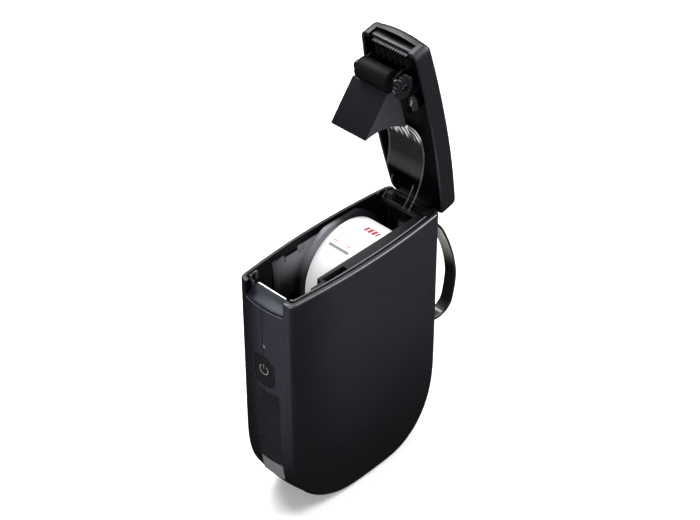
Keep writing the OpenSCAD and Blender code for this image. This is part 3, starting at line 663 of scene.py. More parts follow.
@dataclass(frozen=True)
class Rubber(Finish):
    """Ground rubber with fine rings from its grinding."""

    colour: Colour

    def paint(self, graph: Graph) -> None:
        """Fills a material's tree.

        Args:
            graph: The empty tree.
        """
        rings = graph.noise(0.16, 2.0, (1.0, 0.05, 0.05))
        graph.surface(
            {
                "Base Color": graph.vary(graph.noise(2.5, 3.0), self.colour, 0.85, 1.15),
                "Roughness": 0.5 + (rings - 0.5) * 0.2,
                "Specular IOR Level": 0.06,
                "Normal": graph.bump(rings, 0.008),
            }
        )


@dataclass(frozen=True)
class Ceramic(Finish):
    """White ceramic strip with a glazed line."""

    def paint(self, graph: Graph) -> None:
        """Fills a material's tree.

        Args:
            graph: The empty tree.
        """
        cloud = graph.noise(1.2, 3.0)
        graph.surface(
            {
                "Base Color": graph.mix(cloud, (0.8, 0.8, 0.79), (0.9, 0.9, 0.89)),
                "Roughness": 0.22 + cloud * 0.12,
                "Normal": graph.bump(graph.noise(0.2, 2.0), 0.004),
            }
        )


@dataclass(frozen=True)
class BoardMask(Finish):
    """Green solder mask over copper tracks and plated pads."""

    def cells(self, graph: Graph, feature: str, scale: float) -> Signal:
        """Pattern of cells over the board."""
        values = {"Vector": graph.place(), "Scale": scale}
        return graph.node("ShaderNodeTexVoronoi", {"feature": feature}, values)

    def paint(self, graph: Graph) -> None:
        """Fills a material's tree.

        Args:
            graph: The empty tree.
        """
        lines = self.cells(graph, "DISTANCE_TO_EDGE", 420.0) < 0.07
        pads = self.cells(graph, "F1", 260.0) < 0.16
        green = graph.mix(lines, (0.008, 0.06, 0.028), (0.02, 0.13, 0.06))
        graph.surface(
            {
                "Base Color": graph.mix(pads, green, (0.75, 0.6, 0.3)),
                "Roughness": 0.3 + pads * 0.1,
                "Metallic": pads * 0.9,
                "Normal": graph.bump(lines + pads, 0.02),
            }
        )


@dataclass(frozen=True)
class Foil(Finish):
    """Soft pouch foil with shallow dents."""

    colour: Colour

    def paint(self, graph: Graph) -> None:
        """Fills a material's tree.

        Args:
            graph: The empty tree.
        """
        dent = graph.noise(6.0, 4.0)
        graph.surface(
            {
                "Base Color": graph.vary(dent, self.colour, 0.8, 1.2),
                "Roughness": 0.3 + dent * 0.15,
                "Metallic": 0.6,
                "Normal": graph.bump(dent, 0.25),
            }
        )


@dataclass(frozen=True)
class Cardboard(Finish):
    """Wound board tube with a spiral joint."""

    axis: Span
    twist: float = 0.09

    def paint(self, graph: Graph) -> None:
        """Fills a material's tree.

        Args:
            graph: The empty tree.
        """
        turn = graph.turn(graph.along("Y") - self.axis[0], graph.along("Z") - self.axis[1])
        spiral = (turn * (1 / 360) + graph.along("X") * self.twist).fraction()
        fibre = graph.noise(0.35, 4.0, (1.0, 0.4, 0.4))
        board = graph.mix(fibre, (0.36, 0.27, 0.17), (0.58, 0.46, 0.31))
        joint = spiral.band(0.0, 0.03, 0.01) * 0.6
        graph.surface(
            {
                "Base Color": graph.mix(joint, board, (0.2, 0.15, 0.09)),
                "Roughness": 0.75 + fibre * 0.15,
                "Normal": graph.bump(fibre, 0.03),
            }
        )


@dataclass(frozen=True)
class PaleFloor(Finish):
    """Matt pale floor that stays bright far from the lamps."""

    colour: Colour
    far: Span = (500.0, 1300.0)
    glow: Colour = (0.75, 0.75, 0.75)

    def paint(self, graph: Graph) -> None:
        """Fills a material's tree.

        Args:
            graph: The empty tree.
        """
        x, y = graph.along("X"), graph.along("Y")
        away = graph.ease(graph.math("SQRT", x * x + y * y), *self.far)
        cloud = graph.noise(2.0, 2.0)
        graph.surface(
            {
                "Base Color": graph.vary(cloud, self.colour, 0.99),
                "Roughness": 0.7 + cloud * 0.05,
                "Specular IOR Level": 0.1,
                "Emission Color": graph.mix(away, (0.0, 0.0, 0.0), self.glow),
                "Emission Strength": 1.0,
            }
        )


# Plastics: name, colour, roughness, grain, depth of the grain, specular level, unevenness
# The case carries painted shade below and at the front's edges, and painted light on the front.
CASE_PLASTIC = ShellPlastic("case_plastic", (0.0133, 0.0126, 0.0182), 0.48, 0.25, 0.006, 0.35)
LID_PLASTIC = Moulded("lid_plastic", (0.0085, 0.0083, 0.0115), 0.44, 0.25, 0.006, 0.36)
INNER_PLASTIC = Moulded("inner_plastic", (0.008, 0.0084, 0.0098), 0.32, 0.3, 0.003, 0.3)
# The bay's left wall carries a painted reflection of the roll.
BAY_PLASTIC = BayPlastic("bay_plastic", (0.0095, 0.0095, 0.0115), 0.4, 0.3, 0.003, 0.1)
# Paler, glossier copy of the plastic for the lit rim and the ledge's bead, a painted highlight.
RIM_HIGHLIGHT = Moulded("polished_edge", (0.016, 0.016, 0.019), 0.36, 0.3, 0.002, 0.8)
# Near-black copy of the plastic for faces inside the case and lid, painted shade.
INNER_SHADE = Moulded("lid_inner_plastic", (0.0012, 0.0012, 0.0014), 0.4, 0.3, 0.004, 0.06)
RIB_PLASTIC = Moulded("rib_plastic", (0.006, 0.006, 0.0068), 0.4, 0.3, 0.003, 0.12)
# The guide wedge carries painted light on its right web and painted shade lower down.
WEDGE_PLASTIC = SidedPlastic("wedge_plastic", (0.0068, 0.0076, 0.0096), 0.42, 0.3, 0.006, 0.12)
BUTTON_PLASTIC = Moulded("button_plastic", (0.0085, 0.0085, 0.0098), 0.46, 0.25, 0.008, 0.25)
ICON_PRINT = Moulded("icon_print", (0.2, 0.2, 0.204), 0.5, 0.2, 0.003, 0.2)
CHIP_PLASTIC = Moulded("chip_plastic", (0.018, 0.018, 0.02), 0.55, 0.15, 0.006)
GEAR_PLASTIC = Moulded("gear_plastic", (0.62, 0.61, 0.57), 0.4, 0.4, 0.004)
DARK_GEAR = Moulded("dark_gear_plastic", (0.0105, 0.0103, 0.0128), 0.34, 0.4, 0.003, 0.12)
# Lighter than the case, a painted highlight on the catches and the corner hooks.
LATCH_PLASTIC = Moulded("latch_plastic", (0.028, 0.028, 0.031), 0.3, 0.3, 0.003, 0.6)
BUSH_PLASTIC = Moulded("bush_plastic", (0.004, 0.004, 0.0045), 0.22, 0.4, 0.002, 0.3)
BLADE_PLASTIC = Moulded("blade_plastic", (0.03, 0.03, 0.032), 0.3, 0.3, 0.003, 0.25)
STRAP_BAND = Moulded("strap_band", (0.018, 0.018, 0.0182), 0.3, 0.5, 0.004, 0.5)
# Pale colour on the strap's inner face, a painted reflection that fades to painted shade lower down.
STRAP_REFLECTION = ShellPlastic(
    "strap_inner", (0.33, 0.33, 0.305), 0.4, 0.5, 0.004, 0.1, heights=(58.0, 78.0), darkest=0.015
)
LIGHT_PIPE = Moulded("light_pipe", (0.13, 0.13, 0.135), 0.25, 0.3, 0.003)
SMOKED_TRAY = TrayPlastic("smoked_tray", (0.0065, 0.0082, 0.0135))
# Pale finish for the tray's lower front edge, a painted highlight.
TRAY_EDGE_HIGHLIGHT = Moulded("tray_edge", (0.16, 0.165, 0.18), 0.25, 0.3, 0.002, 0.5)
# Faintly glowing copy of the clear sheet for the guard's side edges, a painted highlight.
GUARD_EDGE_GLOW = ClearSheet("clear_guard_edge", (0.5, 0.5, 0.5), 0.12, 0.5)
# Metals: name, colour, roughness, stretch of the lines
STEEL = Metal("bright_steel", (0.62, 0.62, 0.63), 0.25, (0.1, 1.0, 1.0))
SHEET_STEEL = Metal("sheet_steel", (0.55, 0.55, 0.57), 0.36, (1.0, 1.0, 0.1))
SHAFT_STEEL = Metal("dark_steel", (0.09, 0.09, 0.095), 0.3, (0.1, 1.0, 1.0))
ALUMINIUM = Metal("rolled_aluminium", (0.7, 0.71, 0.72), 0.38, (0.1, 1.0, 1.0))
BRASS = Metal("cut_brass", (0.72, 0.52, 0.24), 0.3, (0.3, 1.0, 1.0))
ROLLER_RUBBER = Rubber("ground_rubber", (0.0042, 0.0044, 0.005))
HEAD_CERAMIC = Ceramic("head_ceramic")
SOLDER_MASK = BoardMask("solder_mask")
POUCH_FOIL = Foil("pouch_foil", (0.25, 0.33, 0.42))
CLEAR_FILM = Moulded("clear_film", (0.01, 0.01, 0.0115), 0.25, 3.0, 0.01, 0.4, 0.3)
FROSTED_TAB = Moulded("frosted_tab", (0.1, 0.1, 0.103), 0.36, 1.2, 0.01, 0.3, 0.3)
FLOOR_PAINT = PaleFloor("pale_floor", (0.86, 0.86, 0.86))


# Mesh tools


class Workshop:
    """Makes meshes from millimetres."""

    @staticmethod
    def show(name: str, data: bpy.types.ID) -> Piece:
        """Puts new data in the scene."""
        made = bpy.data.objects.new(name, data)
        bpy.context.scene.collection.objects.link(made)
        return made

    @staticmethod
    def discard(piece: Piece) -> None:
        """Deletes a piece and its mesh."""
        used = piece.data
        bpy.data.objects.remove(piece)
        bpy.data.meshes.remove(used)

    @staticmethod
    def piece(name: str, points: Sequence[Point], faces: Sequence[Sequence[int]]) -> Piece:
        """Makes a mesh with its faces turned outwards.

        Args:
            name: Name of the piece.
            points: Places in millimetres.
            faces: Indices of each face's points.

        Returns:
            The new object, in the scene.
        """
        mesh = bpy.data.meshes.new(name)
        mesh.from_pydata([tuple(part * MM for part in point) for point in points], [], faces)
        form = bmesh.new()
        form.from_mesh(mesh)
        loose = [vert for vert in form.verts if not vert.link_faces]
        bmesh.ops.delete(form, geom=loose, context="VERTS")
        bmesh.ops.recalc_face_normals(form, faces=form.faces)
        form.to_mesh(mesh)
        form.free()
        return Workshop.show(name, mesh)

    @staticmethod
    def loft(name: str, rings: Sequence[Ring], closed: bool = False) -> Piece:
        """Joins a row of rings with equal numbers of points.

        Args:
            name: Name of the piece.
            rings: Rings in order.
            closed: Whether the last ring joins the first; otherwise both ends get a cap.

        Returns:
            The new object.
        """
        count = len(rings[0])
        rows = len(rings) if closed else len(rings) - 1
        faces = []
        for row in range(rows):
            here, there = row * count, (row + 1) % len(rings) * count
            for i in range(count):
                after = (i + 1) % count
                faces.append((here + i, here + after, there + after, there + i))
        if not closed:
            last = (len(rings) - 1) * count
            faces += [tuple(range(count)), tuple(range(last, last + count))]
        return Workshop.piece(name, [point for ring in rings for point in ring], faces)

    @staticmethod
    def lathe(
        name: str, profile: Flat, centre: Span, axis: Axis = Axis.ACROSS, steps: int = 128
    ) -> Piece:
        """Turns a closed profile about an axis.

        Args:
            name: Name of the piece.
            profile: Places along the axis and their radii, as a closed outline.
            centre: The axis's place on the two other axes.
            axis: Direction of the axis.
            steps: Steps of the turn.

        Returns:
            The new object.
        """
        rings = []
        for step in range(steps):
            turn = math.tau * step / steps
            ring = []
            for along, radius in profile:
                first = centre[0] + radius * math.cos(turn)
                second = centre[1] + radius * math.sin(turn)
                across = axis is Axis.ACROSS
                ring.append((along, first, second) if across else (first, along, second))
            rings.append(ring)
        return Workshop.loft(name, rings, closed=True)

    @staticmethod
    def tube(name: str, node: str, bore: float, edge: float, steps: int = 128) -> Piece:
        """Turned tube with rounded edges in the place of a CAD node.

        Args:
            name: Name of the piece.
            node: CAD node that gives its size.
            bore: Radius of its hole.
            edge: Radius of its edges.
            steps: Steps of the turn.

        Returns:
            The tube.
        """
        (x0, x1), _, (z0, z1) = spans(node)
        r, bit = (z1 - z0) / 2, 0.3 * edge
        profile = [(x0, bore), (x0, r - edge), (x0 + bit, r - bit), (x0 + edge, r)]
        profile += [(x1 - edge, r), (x1 - bit, r - bit), (x1, r - edge), (x1, bore)]
        return Workshop.soften(Workshop.lathe(name, profile, axis_of(node), steps=steps))

    @staticmethod
    def across(name: str, outline: Flat, x: Span) -> Piece:
        """Gives a side-view outline a thickness across the body."""
        return Workshop.loft(name, [[(side, y, z) for y, z in outline] for side in x])

    @staticmethod
    def deep(name: str, outline: Flat, y: Span) -> Piece:
        """Gives a front-view outline a thickness along the depth."""
        return Workshop.loft(name, [[(x, side, z) for x, z in outline] for side in y])

    @staticmethod
    def block(name: str, x: Span, y: Span, z: Span) -> Piece:
        """Makes a plain block."""
        return Workshop.across(name, [(y[0], z[0]), (y[1], z[0]), (y[1], z[1]), (y[0], z[1])], x)

    @staticmethod
    def blocks(name: str, boxes: Sequence[Box], edge: float, segments: int = 2) -> Piece:
        """Makes a piece of several blocks with round edges.

        Args:
            name: Name of the piece.
            boxes: Sizes of the blocks.
            edge: Width of the rounded edges.
            segments: Steps of the rounding.

        Returns:
            The new object.
        """
        made = Workshop.join(name, [Workshop.block("block", *box) for box in boxes])
        return Workshop.soften(made, edge, segments)

    @staticmethod
    def plate(
        name: str,
        columns: Sequence[float],
        rows: Sequence[float],
        front: Surface,
        back: Surface,
        keep: Callable[[float, float], bool] = lambda column, row: True,
    ) -> Piece:
        """Makes a thin plate between two surfaces over a grid.

        Args:
            name: Name of the piece.
            columns: Grid values along the first direction.
            rows: Grid values along the second direction.
            front: Point of the front surface at a column and row value.
            back: Point of the back surface.
            keep: Whether the cell with a given middle belongs to the plate.

        Returns:
            The new object.
        """
        points = [side(u, v) for side in (front, back) for u in columns for v in rows]
        half, wide = len(points) // 2, len(rows)
        cells = {
            (i, j)
            for i in range(len(columns) - 1)
            for j in range(wide - 1)
            if keep((columns[i] + columns[i + 1]) / 2, (rows[j] + rows[j + 1]) / 2)
        }
        faces = []
        for i, j in sorted(cells):
            here, there = i * wide + j, (i + 1) * wide + j
            corners = [here, there, there + 1, here + 1]
            faces += [tuple(corners), tuple(half + corner for corner in reversed(corners))]
            for side, step in enumerate(((0, -1), (1, 0), (0, 1), (-1, 0))):
                if (i + step[0], j + step[1]) not in cells:
                    a, b = corners[side], corners[(side + 1) % 4]
                    faces.append((a, b, half + b, half + a))
        return Workshop.piece(name, points, faces)

    @staticmethod
    def carve(target: Piece, tool: Piece, operation: str = "DIFFERENCE") -> None:
        """Cuts or keeps the tool's volume, then deletes the tool.

        Args:
            target: Piece that is changed.
            tool: Closed mesh.
            operation: Blender's boolean operation.
        """
        modifier = target.modifiers.new("carve", "BOOLEAN")
        modifier.operation = operation
        modifier.solver = "EXACT"
        modifier.object = tool
        graph = bpy.context.evaluated_depsgraph_get()
        carved = bpy.data.meshes.new_from_object(target.evaluated_get(graph))
        before = target.data
        target.modifiers.clear()
        target.data = carved
        Workshop.discard(tool)
        bpy.data.meshes.remove(before)

    @staticmethod
    def join(name: str, pieces: Sequence[Piece]) -> Piece:
        """Puts several meshes in one object.

        Args:
            name: Name of the piece.
            pieces: Objects that it takes up.

        Returns:
            The new object.
        """
        form = bmesh.new()
        for made in pieces:
            form.from_mesh(made.data)
            Workshop.discard(made)
        mesh = bpy.data.meshes.new(name)
        form.to_mesh(mesh)
        form.free()
        return Workshop.show(name, mesh)

    @staticmethod
    def copy(name: str, source: Piece) -> Piece:
        """Makes a new object with the source's mesh, joined along its edges.

        Args:
            name: Name of the piece.
            source: CAD node.

        Returns:
            The new object.
        """
        form = bmesh.new()
        form.from_mesh(source.data)
        bmesh.ops.remove_doubles(form, verts=form.verts, dist=TOUCH)
        bmesh.ops.dissolve_limit(form, angle_limit=FLAT_ANGLE, verts=form.verts, edges=form.edges)
        mesh = bpy.data.meshes.new(name)
        form.to_mesh(mesh)
        form.free()
        return Workshop.show(name, mesh)

    @staticmethod
    def smooth_group() -> bpy.types.NodeTree:
        """Node group that smooths faces up to an angle, made at its first use."""
        found = bpy.data.node_groups.get("smooth_faces")
        if found is not None:
            return found
        tree = bpy.data.node_groups.new("smooth_faces", "GeometryNodeTree")
        for way in ("INPUT", "OUTPUT"):
            tree.interface.new_socket("Geometry", in_out=way, socket_type="NodeSocketGeometry")
        graph = Graph(tree)
        angle = graph.node("GeometryNodeInputMeshEdgeAngle", output="Unsigned Angle")
        less = {"data_type": "FLOAT", "operation": "LESS_THAN"}
        smooth = graph.node("FunctionNodeCompare", less, {"A": angle, "B": SHARP_ANGLE})
        kind = "GeometryNodeSetShadeSmooth"
        faces = graph.node(kind, {"domain": "FACE"}, {0: graph.node("NodeGroupInput")})
        edges = graph.node(kind, {"domain": "EDGE"}, {0: faces, "Shade Smooth": smooth})
        graph.end("NodeGroupOutput", edges)
        return tree

    @staticmethod
    def soften(piece: Piece, edge: float = 0.0, segments: int = 2, weld: bool = False) -> Piece:
        """Rounds a piece's sharp edges and smooths the rest, with modifiers.

        Args:
            piece: Object to soften.
            edge: Width of the rounded edges in millimetres.
            segments: Steps of the rounding.
            weld: Whether the mesh is first joined along its faces, as a CAD node needs.

        Returns:
            The piece.
        """
        if weld:
            piece.modifiers.new("weld", "WELD").merge_threshold = TOUCH
            flat = piece.modifiers.new("flat", "DECIMATE")
            flat.decimate_type = "DISSOLVE"
            flat.angle_limit = FLAT_ANGLE
        if edge:
            bevel = piece.modifiers.new("edges", "BEVEL")
            bevel.width = edge * MM
            bevel.segments = segments
            bevel.limit_method = "ANGLE"
            bevel.angle_limit = SHARP_ANGLE
        piece.modifiers.new("smooth", "NODES").node_group = Workshop.smooth_group()
        return piece


def rounded_box(width: float, height: float, radius: float, steps: int = 8) -> Flat:
    """Outline of a box with round corners about the origin.

    Args:
        width: First size.
        height: Second size.
        radius: Radius of the corners.
        steps: Steps of each corner.

    Returns:
        Points in turn.
    """
    points = []
    for corner, (sx, sy) in enumerate(((1, 1), (-1, 1), (-1, -1), (1, -1))):
        x, y = sx * (width / 2 - radius), sy * (height / 2 - radius)
        for step in range(steps + 1):
            turn = math.pi / 2 * (corner + step / steps)
            points.append((x + radius * math.cos(turn), y + radius * math.sin(turn)))
    return points


def smooth_line(points: Flat, steps: int) -> Flat:
    """Smooth line through a row of points.

    Args:
        points: Points to pass.
        steps: Steps between two points.

    Returns:
        The line's points.
    """

    def blend(p: float, q: float, r: float, s: float, t: float) -> float:
        """Value between the second and third of four neighbours."""
        bend, twist = 2 * p - 5 * q + 4 * r - s, 3 * q - p - 3 * r + s
        return 0.5 * (2 * q + (r - p) * t + bend * t * t + twist * t**3)

    line = []
    last = len(points) - 1
    for i in range(last):
        near = [points[min(max(i + k, 0), last)] for k in (-1, 0, 1, 2)]
        for step in range(steps):
            line.append(tuple(blend(*values, step / steps) for values in zip(*near)))
    return [*line, points[last]]


def heading(line: Flat, i: int) -> Vector:
    """Direction of a line at one of its points."""
    before, after = line[max(i - 1, 0)], line[min(i + 1, len(line) - 1)]
    return Vector((after[0] - before[0], after[1] - before[1])).normalized()


def steps_between(low: float, high: float, count: int) -> list[float]:
    """Even steps from low to high."""
    return [low + (high - low) * i / count for i in range(count + 1)]


def span(node: str, axis: int) -> Span:
    """Lowest and highest place of a CAD node along an axis, in millimetres."""
    low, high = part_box(node)
    return low[axis] / MM, high[axis] / MM


def spans(node: str) -> Box:
    """A CAD node's box in millimetres."""
    return tuple(span(node, axis) for axis in range(3))


def axis_of(node: str) -> Span:
    """Place of a turned CAD node's axis along the depth and the height."""
    return tuple(sum(span(node, axis)) / 2 for axis in (1, 2))


def dress(
    piece: Piece,
    finish: Finish,
    body: Body,
    slot: Slot | None = None,
    stands_for: Sequence[str] = (),
) -> Piece:
    """Gives a new piece its finish and the body that it rides on.

    Args:
        piece: New object.
        finish: Its finish.
        body: Body that it moves with.
        slot: The record's material slot; not used.
        stands_for: CAD nodes that it replaces.

    Returns:
        The piece.
    """
    piece.data.materials.clear()
    piece.data.materials.append(finish.material())
    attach(piece, body.value)
    if stands_for:
        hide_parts(*stands_for)
    log.info("%s: %s, rides on %s", piece.name, finish.name, body.value)
    return piece


def trim(piece: Piece, finish: Finish, chosen: Callable[[Face], bool]) -> None:
    """Gives some faces of a dressed piece another finish.

    Args:
        piece: Object that has its main finish.
        finish: Finish of the chosen faces.
        chosen: Whether a face is one of them.
    """
    piece.data.materials.append(finish.material())
    place = len(piece.data.materials) - 1
    for face in piece.data.polygons:
        if chosen(face):
            face.material_index = place


def dress_nodes(*rows: tuple[str, Finish, float, int]) -> None:
    """Gives CAD nodes their finishes and soft edges.

    Args:
        rows: Name of each node, its finish, the width of its rounded edges in millimetres and
            the steps of the rounding.
    """
    for name, finish, edge, segments in rows:
        node = frame["nodes"][name]
        if not node.material_slots:
            node.data.materials.append(finish.material())
        for place in node.material_slots:
            place.material = finish.material()
        Workshop.soften(node, edge, segments, weld=True)
        log.info("%s: %s, CAD node", name, finish.name)


# Sub-assemblies


@dataclass
class BodyForm:
    """Barrel-sided outline that the shells, lid and film share, in millimetres."""

    width: float
    depth: float
    height: float
    side_bulge: float = 2.33
    front_bulge: float = 2.0
    back_bulge: float = 1.0
    edge_round: float = 3.0
    least_round: float = 0.4
    most_round: float = 0.42
    shoulder: float = 37.0
    base_power: float = 2.8
    base_flat: float = 14.0
    base_offset: float = 1.5
    upright: float = 89.0
    steepest: float = 100.0
    face_steps: int = 14
    corner_steps: int = 10
    side_steps: int = 40
    bottom_steps: int = 36
    base_drop: float = field(init=False)
    first_angle: float = field(init=False)

    def __post_init__(self) -> None:
        """Works out the rounded bottom's depth and its first angle."""
        power = self.base_power
        share = 1 - (self.base_flat / self.depth) ** power
        self.base_drop = self.shoulder / share ** (1 / power)
        self.first_angle = math.acos((self.shoulder / self.base_drop) ** (power / 2))

    @property
    def front(self) -> float:
        """Place of the front face's middle."""
        return -self.depth / 2

    @property
    def back(self) -> float:
        """Place of the back face's middle."""
        return self.depth / 2

    def half_width(self, y: float) -> float:
        """Half thickness of the body at a place along its depth."""
        return self.width / 2 - self.side_bulge * (2 * y / self.depth) ** 2

    def half_outline(self, front: float, back: float, inset: float, rx: float, ry: float) -> Flat:
        """Right half of a level outline, from the front's middle to the back's middle.

        Args:
            front: Place of the front.
            back: Place of the back.
            inset: How far the sides are drawn in.
            rx: Corner radius across the body.
            ry: Corner radius along the depth.

        Returns:
            The half outline's points.
        """
        wide_front = self.half_width(front) - inset
        wide_back = self.half_width(back) - inset
        turn_front = front + self.front_bulge * (1 - rx / wide_front) ** 2 + ry
        turn_back = back - self.back_bulge * (1 - rx / wide_back) ** 2 - ry
        x_front = self.half_width(turn_front) - inset - rx
        x_back = self.half_width(turn_back) - inset - rx
        turns = steps_between(0.0, math.pi / 2, self.corner_steps)
        points = []
        for x in steps_between(0.0, x_front, self.face_steps)[:-1]:
            points.append((x, front + self.front_bulge * (x / wide_front) ** 2))
        for turn in reversed(turns):
            points.append((x_front + rx * math.cos(turn), turn_front - ry * math.sin(turn)))
        for y in steps_between(turn_front, turn_back, self.side_steps)[1:-1]:
            points.append((self.half_width(y) - inset, y))
        for turn in turns:
            points.append((x_back + rx * math.cos(turn), turn_back + ry * math.sin(turn)))
        for x in reversed(steps_between(0.0, x_back, self.face_steps)[:-1]):
            points.append((x, back - self.back_bulge * (x / wide_back) ** 2))
        return points

    def ring(self, half: Flat, height: float) -> Ring:
        """Whole level outline at a height, from its right half."""
        mirrored = [(-x, y) for x, y in half[-2:0:-1]]
        return [(x, y, height) for x, y in half + mirrored]

    def half_plan(self, inset: float) -> Flat:
        """Right half of the straight walls' outline, drawn in by an inset."""
        r = max(self.edge_round - inset, self.least_round)
        return self.half_outline(self.front + inset, self.back - inset, inset, r, r)

    def plan(self, inset: float, height: float) -> Ring:
        """Outline of the straight walls at a height, drawn in by an inset."""
        return self.ring(self.half_plan(inset), height)

    def edge_rings(
        self, radius: float, inset: float, level: float, ways: tuple[int, int], steps: int
    ) -> list[Ring]:
        """Rings round a rounded edge, from the wall to the flat.

        Args:
            radius: Radius of the edge.
            inset: How far the wall is drawn in.
            level: Height of the flat.
            ways: Signs of the way into the flat and of the way from the flat to the wall.
            steps: Steps of the rounding.

        Returns:
            The rings.
        """
        rings = []
        for turn in steps_between(0.0, math.pi / 2, steps):
            drawn_in = ways[0] * radius * (1 - math.cos(turn))
            away = ways[1] * radius * (1 - math.sin(turn))
            rings.append(self.plan(inset + drawn_in, level + away))
        return rings

    def bottom_ring(self, angle: float, inset: float) -> Ring:
        """One ring of the rounded bottom.

        Args:
            angle: Place along the bottom's curve, in radians.
            inset: How far the ring is drawn in.

        Returns:
            The ring.
        """
        power = 2 / self.base_power
        reach = math.sin(angle) ** power
        front = self.base_offset - (self.base_offset - self.front - inset) * reach
        back = self.base_offset + (self.back - inset - self.base_offset) * reach
        height = self.shoulder - (self.base_drop - inset) * max(math.cos(angle), 0.0) ** power
        lowest = inset * self.shoulder / self.base_drop
        r = max(self.edge_round - inset, self.least_round)
        rise = max(0.0, min(height - lowest, r))
        drawn_in = r - math.sqrt(r * r - (r - rise) ** 2)
        rx = max(r - drawn_in, self.least_round)
        steep = self.steepest
        if angle < math.radians(self.upright):
            steep = self.base_drop / self.back * math.tan(angle) ** (2 - power)
        slope = steep / math.sqrt(1 + steep * steep)
        ry = min(r / slope, self.most_round * (back - front)) * rx / r
        return self.ring(self.half_outline(front, back, inset + drawn_in, rx, ry), height)

    def bottom_rings(self, inset: float) -> list[Ring]:
        """Rings of the rounded bottom, from the base upwards."""
        angles = steps_between(self.first_angle, math.pi / 2, self.bottom_steps)
        return [self.bottom_ring(angle, inset) for angle in angles]

    def front_at(self, x: float, z: float) -> float:
        """Place of the front face's surface at a point seen from the front.

        Args:
            x: Place across the body.
            z: Height.

        Returns:
            The surface's place along the depth.
        """
        front = self.front
        if z < self.shoulder:
            share = ((self.shoulder - z) / self.base_drop) ** (self.base_power / 2)
            reach = math.sin(math.acos(share)) ** (2 / self.base_power)
            front = self.base_offset - (self.base_offset - self.front) * reach
        return front + self.front_bulge * (x / self.half_width(front)) ** 2


